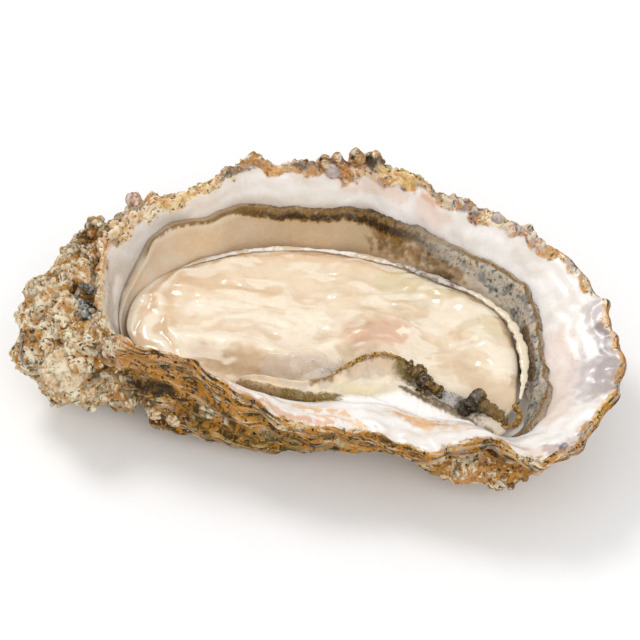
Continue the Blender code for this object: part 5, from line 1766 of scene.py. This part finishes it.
# Lumps of the near mantle: place, spread and ink; each is a bunch of smaller ones.
CLUMP_BALLS = [
    (18.2, -8.8, 14.9, 1.2, CLUMP_OLIVE),
    (19.6, -10.2, 15.2, 1.6, CLUMP_OLIVE),
    (21.2, -11.8, 15.0, 1.7, CLUMP_DARK),
    (22.6, -13.4, 14.8, 1.5, CLUMP_OLIVE),
    (20.2, -12.4, 14.8, 1.4, CLUMP_DARK),
    (23.8, -14.6, 14.5, 0.8, CLUMP_DARK),
    (27.4, -17.4, 14.2, 0.8, CLUMP_GREY),
    (33.2, -17.6, 14.4, 0.9, CLUMP_OLIVE),
    (35.2, -18.4, 14.0, 0.9, CLUMP_OLIVE),
]
BUNCH = 7
CLUMP_SEED = 7

# Smooth dark lobe that stands on the near mantle: place and radius of its lumps.
LOBE = [
    (28.5, -17.8, 14.1, 1.3),
    (29.4, -16.7, 14.7, 1.5),
    (30.2, -15.7, 15.3, 1.5),
    (30.7, -15.0, 15.6, 1.35),
    (31.6, -16.3, 14.7, 1.4),
    (33.0, -17.0, 14.4, 1.3),
    (34.4, -17.8, 14.1, 1.1),
]
FRINGE_TAN = (186, 142, 74)
FRINGE_INKS = (FRINGE_TAN, LINE_OCHRE, FRINGE_TAN, FLESH_BEIGE)
FRINGE_DARK_INKS = (LINE_OCHRE, LINE_DARK, FLESH_OLIVE)
FRINGE_TURN = 15.0  # the beads turn dark beyond this place along X
FRINGE_ROWS = [(0.0, 0.25), (0.42, 0.0), (-0.38, -0.05)]  # how far aside, and lift
BEAD_SPACING = 0.42
BEAD_SIZES = (0.20, 0.36)
BEAD_WANDER = 0.06
FRINGE_SEED = 3

# Curl at the end of the lobe.
CURL = [
    (34.8, -19.6, 13.4),
    (36.6, -20.0, 13.6),
    (38.0, -18.8, 13.9),
    (38.2, -17.0, 14.3),
    (37.2, -15.6, 14.5),
    (38.0, -14.4, 14.4),
]
CURL_POINTS, CURL_COLUMNS, CURL_FLATNESS = 120, 18, 0.8
CURL_RADIUS = 0.55
CURL_TIP = 0.15  # how far short of a point its ends stop, as an angle of its swell


def make_fringe():
    """Rows of tiny beads on the flap's fringe."""
    count = int(line_stops(FRINGE, 3)[-1] / BEAD_SPACING)
    course = smooth_line(FRINGE, count, 3)
    choice = np.random.default_rng(FRINGE_SEED)
    corners, faces = lump_shape(2)
    beads = []
    for aside, lift in FRINGE_ROWS:
        for place in course:
            size = choice.uniform(*BEAD_SIZES)
            spot = place + (choice.normal(0, BEAD_WANDER), -aside + choice.normal(0, BEAD_WANDER), lift)
            bead = spot + corners * size * choice.uniform(0.8, 1.2, 3)
            inks = FRINGE_INKS if place[0] < FRINGE_TURN else FRINGE_DARK_INKS
            beads.append((bead, faces, all_over(inks[choice.integers(len(inks))], bead)))
    add_piece("fringe_beads", *joined(beads), edge_material(), "mantle_near", None, 0.4)


def make_clump():
    """Dark frilled clump, crusty band and knob of the near mantle, as bunches of small lumps."""
    corners, faces = lump_shape(4)
    choice = np.random.default_rng(CLUMP_SEED)
    lumps = []
    for x, y, z, radius, ink in [ball for ball in CLUMP_BALLS for _ in range(BUNCH)]:
        size = radius * choice.uniform(0.32, 0.58)
        centre = np.array((x, y, z)) + choice.normal(0.0, 0.40, 3) * radius * (1.0, 1.0, 0.45)
        grid = centre + corners * size * choice.uniform(0.75, 1.25, 3)
        grid = grid + corners * (0.36 * size * fractal_at(grid, 0.8 * size, 3))[:, None]
        paint = all_over(ink, grid) * choice.uniform(0.6, 1.3)
        mottle = fractal_at(grid + 33.0, 0.6, 3)
        paint = tint(paint, FRINGE_TAN, 0.5 * ramp(0.1, 0.4, mottle))
        paint = tint(paint, LINE_DARK, 0.8 * ramp(-0.1, -0.4, mottle))
        lumps.append((grid, faces, np.clip(paint, 0.0, 0.95)))
    material = edge_material("mantle_clump", 0.35)
    add_piece("mantle_clump", *joined(lumps), material, "mantle_near", None, 0.35)


def make_lobe():
    """Smooth lobe of the near mantle: dark on the left and at its foot, olive on the right, with a painted
    grey highlight on top.
    """
    corners, faces = lump_shape(5)
    lumps = []
    for x, y, z, radius in LOBE:
        grid = corners * radius + (x, y, z)
        grid = grid + corners * (0.34 * fractal_at(grid, 1.1, 4))[:, None]
        olive = ramp(30.0, 32.6, grid[:, 0] + 0.8 * fractal_at(grid, 1.4, 3))
        paint = tint(all_over(CLUMP_DARK, grid), CLUMP_OLIVE, olive)
        # Greyer on top: painted highlight.
        paint = tint(paint, CLUMP_GREY, 0.5 * ramp(16.2, 17.2, grid[:, 2]))
        lumps.append((grid, faces, paint))
    add_piece("mantle_lobe", *joined(lumps), edge_material("mantle_lobe", 0.35), "mantle_near", None, 0.3)


def make_curl():
    """Ochre curl, thin at both ends."""
    course = smooth_line(CURL, CURL_POINTS, 3)
    swell = np.sin(np.linspace(CURL_TIP, math.pi - CURL_TIP, CURL_POINTS))
    grid = tube_grid(course, CURL_RADIUS * swell**0.5, CURL_COLUMNS, CURL_FLATNESS)
    grid = grid + grid_normals(grid) * (0.16 * fractal_at(grid, 0.6, 3))[..., None]
    mottle = fractal_at(grid, 0.7, 3)
    colours = tint(all_over(LINE_OCHRE, grid), YELLOW, 0.4 * ramp(0.1, 0.5, mottle))
    colours = tint(colours, BLACK_GREEN, 0.7 * ramp(-0.1, -0.4, mottle))
    add_strip("curl", grid, colours, edge_material(), "mantle_near", None, 0.7)


GRIT_COUNT = 1200
GRIT_SIZES = (0.14, 0.50)
GRIT_TOP = 30.8  # no grains stand on the rim above this height
PEBBLE_COUNT = 210
PEBBLE_SIZES = (0.45, 1.05)
PEBBLE_LIFT = 0.1
STONE = (164, 128, 84)
GRIT_INKS = [CREAM, OCHRE, BROWN, GREY, CREAM, OLIVE, STONE]
PEBBLE_INKS = [STONE, GREY, STONE, BROWN, CREAM, OCHRE]
CRYSTAL_INKS = [(108, 106, 98), (146, 144, 134), (58, 54, 46), (86, 92, 50)]
CRYSTAL_COUNT = 34
CRYSTAL_SEED, GRIT_SEED, PEBBLE_SEED = 21, 5, 8

# Where grains gather: round the hinge's corner, on the near ledge, and below the hinge.
CORNER_LINE = [(-48.0, -2.0, 22.0), (-44.0, 8.0, 24.5), (-37.0, 14.0, 26.5)]
LEDGE_LINE = [(25.0, -27.4, 9.4), (34.0, -28.4, 8.6), (42.0, -27.6, 10.4)]
BELOW_LINE = [(-40.0, -20.4, 11.0), (-30.0, -20.6, 8.6)]

# Barnacles, young shells, knobs and stuck pebbles: place, radius, height and kind.
BARNACLES = [
    (-37.9, 15.1, 28.5, 1.5, 1.9, "ball"),
    (-43.8, -20.2, 17.6, 4.2, 1.5, "spat"),
    (-52.4, -14.2, 16.4, 2.4, 0.35, "oval"),
    (-39.4, -22.0, 13.6, 1.7, 1.1, "cone"),
    (-47.0, -17.8, 20.6, 1.2, 0.9, "cone"),
    (-49.6, -9.6, 21.2, 1.0, 0.8, "cone"),
    (-36.0, -20.6, 11.4, 1.3, 0.9, "cone"),
    (-28.4, -21.6, 8.6, 1.6, 1.0, "cone"),
    (-24.8, -23.0, 8.2, 1.4, 0.9, "cone"),
    (-32.0, -20.6, 8.4, 1.2, 0.8, "cone"),
    (-0.6, 27.2, 29.0, 1.6, 0.8, "pebble"),
    (2.8, 29.4, 30.8, 1.5, 1.0, "knob"),
    (-3.4, 28.8, 30.4, 1.3, 0.8, "knob"),
    (31.0, 22.4, 25.0, 1.3, 0.8, "pebble"),
    (-30.0, 30.0, 16.0, 2.2, 1.4, "cone"),
    (10.0, 34.0, 18.0, 2.6, 1.6, "cone"),
    (24.0, 30.0, 14.0, 1.8, 1.2, "cone"),
    (-12.0, 30.0, 10.0, 2.0, 1.3, "cone"),
    (-44.0, 10.0, 12.0, 1.8, 1.2, "cone"),
]
BARNACLE_PROFILES = {  # share of the radius and of the height, from the foot to the middle
    "cone": [(1.0, -0.25), (0.9, 0.25), (0.68, 0.75), (0.5, 1.0), (0.4, 0.95), (0.3, 0.5), (0.0, 0.35)],
    "spat": [(1.0, -0.3), (0.98, 0.1), (0.8, 0.45), (0.5, 0.75), (0.3, 0.98), (0.12, 1.0), (0.0, 0.9)],
    "oval": [(1.0, -0.4), (0.95, 0.3), (0.75, 0.8), (0.5, 1.0), (0.3, 1.02), (0.12, 1.0), (0.0, 1.0)],
    "ball": [(0.7, -0.3), (1.0, 0.2), (1.0, 0.55), (0.75, 0.9), (0.4, 1.02), (0.15, 1.0), (0.0, 0.9)],
    "knob": [(1.3, -0.4), (1.1, 0.2), (0.95, 0.55), (0.75, 0.9), (0.4, 1.02), (0.15, 1.0), (0.0, 1.0)],
    "pebble": [(0.9, -0.4), (1.0, 0.1), (0.92, 0.5), (0.7, 0.85), (0.4, 1.0), (0.15, 1.02), (0.0, 1.0)],
}
OVAL_BLUE = (84, 88, 96)
PEBBLE_BLUE = (170, 160, 160)
BALL_RED = (168, 112, 84)
BALL_DARK = (76, 26, 14)
BARNACLE_LOOKS = {  # ridges, their depth, inks of ridge, groove and middle, strength of the groove's
    "cone": (7, 0.14, CREAM, OCHRE, BROWN_DARK, 0.7),
    "spat": (22, 0.04, CREAM, OLIVE, CREAM, 0.3),
    "oval": (2, 0.05, OVAL_BLUE, BLACK_GREEN, VIOLET_PALE, 0.6),
    "ball": (5, 0.06, BALL_RED, CHALK, BALL_DARK, 0.7),
    "knob": (3, 0.14, SAND, BROWN, BROWN_DARK, 0.8),
    "pebble": (2, 0.05, VIOLET_PALE, VIOLET, PEBBLE_BLUE, 0.5),
}
GROWTH_RINGS = 26.0
BARNACLE_COLUMNS = 60
BARNACLE_ROWS = 22


def frame_at(tree, place):
    """Nearest point of a surface to a place, with two directions along it and its normal."""
    point, normal = tree.find_nearest(Vector(place))[:2]
    side = normal.cross(Vector((0.3, 0.2, 1.0))).normalized()
    return np.array(point), np.array(side), np.array(normal.cross(side)), np.array(normal)


def growth_grid(tree, number, place, radius, tall, kind):
    """Points of one growth, the wave of its ridges, and how far out each point is."""
    centre, side, other, normal = frame_at(tree, place)
    ridges, ridge_depth = BARNACLE_LOOKS[kind][:2]
    angle = np.arange(BARNACLE_COLUMNS) / BARNACLE_COLUMNS * math.tau
    stops = np.linspace(0.0, 1.0, len(BARNACLE_PROFILES[kind]))
    rows = through_line(stops, BARNACLE_PROFILES[kind], np.linspace(0.0, 1.0, BARNACLE_ROWS))
    out, up = rows[:, :1], rows[:, 1:]
    wave = np.cos(ridges * angle + number)[None, :]
    wave = wave * ramp(0.05, 0.4, out)
    wide = radius * out * (1.0 + ridge_depth * wave)
    if kind == "oval":
        wide = wide * (1.0 + 0.35 * np.cos(2 * angle))[None, :]
    local = (
        wide[..., None] * (np.cos(angle)[None, :, None] * side + np.sin(angle)[None, :, None] * other)
        + (tall * up * (1.0 + 0.5 * ridge_depth * wave))[..., None] * normal
    )
    grid = centre + local
    grid = grid + (0.12 * radius * fractal_at(grid, 0.7 * radius, 3))[..., None] * normal
    return grid, wave, np.broadcast_to(out, grid.shape[:2])


def paint_growth(grid, wave, away, radius, kind):
    """Colours of one growth: its ridges and grooves, its rings and its middle."""
    ink, groove_ink, middle_ink, groove = BARNACLE_LOOKS[kind][2:]
    rings = fractal_at(grid + 12.0, 0.35 * radius, 3)
    paint = tint(all_over(ink, grid), groove_ink, groove * ramp(0.1, -0.8, wave + rings))
    steps = np.sin(away * GROWTH_RINGS + 3.0 * rings)
    paint = tint(paint, OCHRE, 0.5 * ramp(0.2, 0.9, steps) * ramp(0.2, 0.5, away))
    paint = tint(paint, middle_ink, ramp(0.42, 0.2, away))
    return tint(paint, BROWN_DARK, 0.6 * ramp(0.2, 0.5, rings))


def make_barnacles(tree, name, kinds, material):
    """The barnacles, young shells, knobs or stuck pebbles of some kinds, as one piece."""
    growths = []
    chosen = [row for row in BARNACLES if row[5] in kinds]
    for number, (x, y, z, radius, tall, kind) in enumerate(chosen):
        grid, wave, away = growth_grid(tree, number, (x, y, z), radius, tall, kind)
        paint = paint_growth(grid, wave, away, radius, kind)
        growths.append((grid.reshape(-1, 3), grid_faces(*grid.shape[:2]), paint.reshape(-1, 3)))
    add_piece(name, *joined(growths), material, "shell")


def lump_shape(detail):
    """Corners and faces of a ball of triangles with a radius of 1."""
    bm = bmesh.new()
    bmesh.ops.create_icosphere(bm, subdivisions=detail, radius=1.0)
    corners = np.array([v.co[:] for v in bm.verts])
    faces = np.array([[v.index for v in f.verts] for f in bm.faces])
    bm.free()
    return corners, faces


def tumbled(choice):
    """A turn by any angle about any axis."""
    return np.array(Matrix.Rotation(choice.uniform(0, math.tau), 3, choice.normal(size=3)))


def scatter(name, grid, base, weight, count, sizes, inks, seed, detail, lift=0.25):
    """Grains strewn over the shell's outside, more where the weight is higher, as one piece.

    Each takes some of the colour of the shell under it. Lift is how far its middle stands out,
    as a share of its size.
    """
    choice = np.random.default_rng(seed)
    chance = weight.reshape(-1) / weight.sum()
    spots = choice.choice(len(chance), size=count, replace=False, p=chance)
    normals = grid_normals(grid).reshape(-1, 3)[spots]
    places = grid.reshape(-1, 3)[spots]
    below = base.reshape(-1, 3)[spots]
    corners, faces = lump_shape(detail)
    grains = []
    for number, (place, normal, under) in enumerate(zip(places, normals, below)):
        size = sizes[0] + (sizes[1] - sizes[0]) * choice.random() ** 2.2
        stretch = choice.uniform(0.65, 1.25, 3)
        turn = tumbled(choice)
        shape = corners * (1.0 + 0.34 * noise_at(corners * 1.3 + 9.0 * number, 1.0))[:, None]
        shape = (shape * stretch) @ turn.T * size
        ink = linear(inks[choice.integers(len(inks))])
        own = choice.uniform(0.25, 0.85)
        shade = choice.uniform(0.55, 1.35)
        colour = np.clip((under * (1.0 - own) + ink * own) * shade, 0.0, 0.95)
        grains.append((place + normal * size * lift + shape, faces, np.broadcast_to(colour, shape.shape)))
    add_piece(name, *joined(grains), crust_material(name, False), "shell")


def make_crystals(tree):
    """Faceted grains that fill the hollow beside the hinge."""
    choice = np.random.default_rng(CRYSTAL_SEED)
    corners, faces = lump_shape(1)
    course = through_line([0.0, 0.5, 1.0], PIT, np.linspace(0.0, 1.0, CRYSTAL_COUNT))
    grains = []
    for place in course:
        spot = place + choice.normal(0.0, 1.0, 3) * (0.9, 1.3, 0.4)
        centre, _, _, normal = frame_at(tree, spot)
        size = choice.uniform(0.30, 0.85)
        turn = tumbled(choice)
        shape = (corners * choice.uniform(0.7, 1.3, 3)) @ turn.T * size
        ink = linear(CRYSTAL_INKS[choice.integers(len(CRYSTAL_INKS))]) * choice.uniform(0.5, 1.3)
        colour = np.broadcast_to(np.clip(ink, 0.0, 0.95), shape.shape)
        grains.append((centre + 0.3 * size * normal + shape, faces, colour))
    piece = add_piece("crystals", *joined(grains), crystal_material(), "shell")
    piece.data.shade_flat()


def make_grit(here, depth, base):
    """Grains and pebbles on the hinge and along the rim."""
    x, y = here[..., 0], here[..., 1]
    rim = ramp(4.5, 1.0, np.abs(depth - 0.8)) * ramp(30.0, 10.0, x) * ramp(4.0, 12.0, y)
    hinge = ramp(-31.0, -40.0, x) * ramp(0.5, 2.0, depth)
    corner = bump(line_distance(here, CORNER_LINE), 4.0)
    ledge = bump(line_distance(here, LEDGE_LINE), 4.0)
    below = bump(line_distance(here, BELOW_LINE), 5.0)
    spacing = np.linalg.norm(np.gradient(here, axis=0), axis=2)
    spacing = spacing * ramp(GRIT_TOP, GRIT_TOP - 0.6, here[..., 2])
    pit = ramp(PIT_RADIUS + 0.6, PIT_RADIUS - 0.4, line_distance(here, PIT))
    weight = (0.35 * hinge + 1.2 * corner + 0.6 * rim + 0.7 * ledge + 0.9 * below) * spacing
    weight = weight * ramp(-0.1, 0.4, fractal_at(here, 3.5, 2)) * (1.0 - pit) + 1e-9
    scatter("grit", here, base, weight, GRIT_COUNT, GRIT_SIZES, GRIT_INKS, GRIT_SEED, 2)
    stones = (2.2 * corner + 0.10 * hinge + 0.35 * ledge + 0.5 * below + 0.10 * rim) * spacing
    stones = stones * (1.0 - pit) + 1e-9
    scatter(
        "pebbles", here, base, stones, PEBBLE_COUNT, PEBBLE_SIZES, PEBBLE_INKS, PEBBLE_SEED, 3, PEBBLE_LIFT
    )


CAMERA_LENS = 100.0
CAMERA_AZIMUTH = 7.5
CAMERA_ELEVATION = 45.0
CAMERA_DISTANCE = 0.332
CAMERA_TARGET = (-0.0001, -0.0005, 0.016)
SENSOR_WIDTH = 36.0
FLOOR_SIZE = 6.0
FLOOR_DROP = 0.0001
FLOOR_COLOUR = (0.94, 0.94, 0.94, 1.0)
FLOOR_ROUGHNESS = 0.9
LAMP_AIM = (0.0, 0.0, 0.015)
LAMPS = [  # name, place, width, depth and power
    ("key", (-0.24, 0.17, 0.42), 0.18, 0.18, 0.88),
    ("fill", (0.20, -0.34, 0.30), 0.50, 0.40, 0.8),
]
SKY_STRENGTH = 0.72


def add_camera():
    turn, rise = math.radians(CAMERA_AZIMUTH), math.radians(CAMERA_ELEVATION)
    back = Vector((math.sin(turn) * math.cos(rise), -math.cos(turn) * math.cos(rise), math.sin(rise)))
    data = bpy.data.cameras.new("camera")
    data.lens = CAMERA_LENS
    data.sensor_width = SENSOR_WIDTH
    data.clip_start = 0.01
    camera = bpy.data.objects.new("camera", data)
    camera.location = Vector(CAMERA_TARGET) + back * CAMERA_DISTANCE
    camera.rotation_euler = back.to_track_quat("Z", "Y").to_euler()
    bpy.context.scene.collection.objects.link(camera)
    bpy.context.scene.camera = camera


def add_floor():
    """Plain pale floor."""
    bpy.ops.mesh.primitive_plane_add(size=FLOOR_SIZE, location=(0.0, 0.0, -FLOOR_DROP))
    floor = bpy.context.object
    floor.name = "floor"
    material = bpy.data.materials.new("floor")
    material.use_nodes = True
    shader = material.node_tree.nodes["Principled BSDF"]
    shader.inputs["Base Color"].default_value = FLOOR_COLOUR
    shader.inputs["Roughness"].default_value = FLOOR_ROUGHNESS
    floor.data.materials.append(material)


def add_lamp(name, place, width, depth, power):
    data = bpy.data.lights.new(name, "AREA")
    data.shape = "ELLIPSE"
    data.size = width
    data.size_y = depth
    data.energy = power
    lamp = bpy.data.objects.new(name, data)
    lamp.location = place
    lamp.rotation_euler = (Vector(place) - Vector(LAMP_AIM)).to_track_quat("Z", "Y").to_euler()
    bpy.context.scene.collection.objects.link(lamp)


def add_light():
    """Two soft lamps and a white surrounding."""
    scene = bpy.context.scene
    world = bpy.data.worlds.new("studio")
    scene.world = world
    world.use_nodes = True
    back = world.node_tree.nodes["Background"]
    back.inputs["Color"].default_value = (1.0, 1.0, 1.0, 1.0)
    back.inputs["Strength"].default_value = SKY_STRENGTH
    for lamp in LAMPS:
        add_lamp(*lamp)
    scene.view_settings.view_transform = "Standard"
    scene.view_settings.look = "None"


def main():
    grid, depth, colours, rim_row = make_shell()
    cup = grid[: rim_row + 1]
    shell_tree = tree_of(cup, grid_faces(rim_row + 1, SHELL_COLUMNS))
    body = make_body(shell_tree)
    make_far_mantle()
    make_inner_fold()
    corners = [v.co / MM + Vector(MIDDLE) for v in body.data.vertices]
    body_tree = BVHTree.FromPolygons(corners, [p.vertices for p in body.data.polygons])
    trees = [shell_tree, body_tree]
    make_near_mantle(trees)
    make_ribbon(trees)
    make_liquor([body_tree])
    make_fringe()
    make_clump()
    make_lobe()
    make_curl()
    outside = grid[rim_row:]
    outside_tree = tree_of(outside, grid_faces(len(outside), SHELL_COLUMNS))
    whole_tree = tree_of(grid, grid_faces(len(grid), SHELL_COLUMNS))
    make_barnacles(outside_tree, "barnacles", ("cone", "spat", "knob"), crust_material("barnacle", False))
    make_barnacles(whole_tree, "stuck_pebbles", ("oval", "ball", "pebble"), stone_material())
    make_crystals(outside_tree)
    make_grit(outside, depth[rim_row:], colours[rim_row:])
    add_floor()
    add_camera()
    add_light()


main()
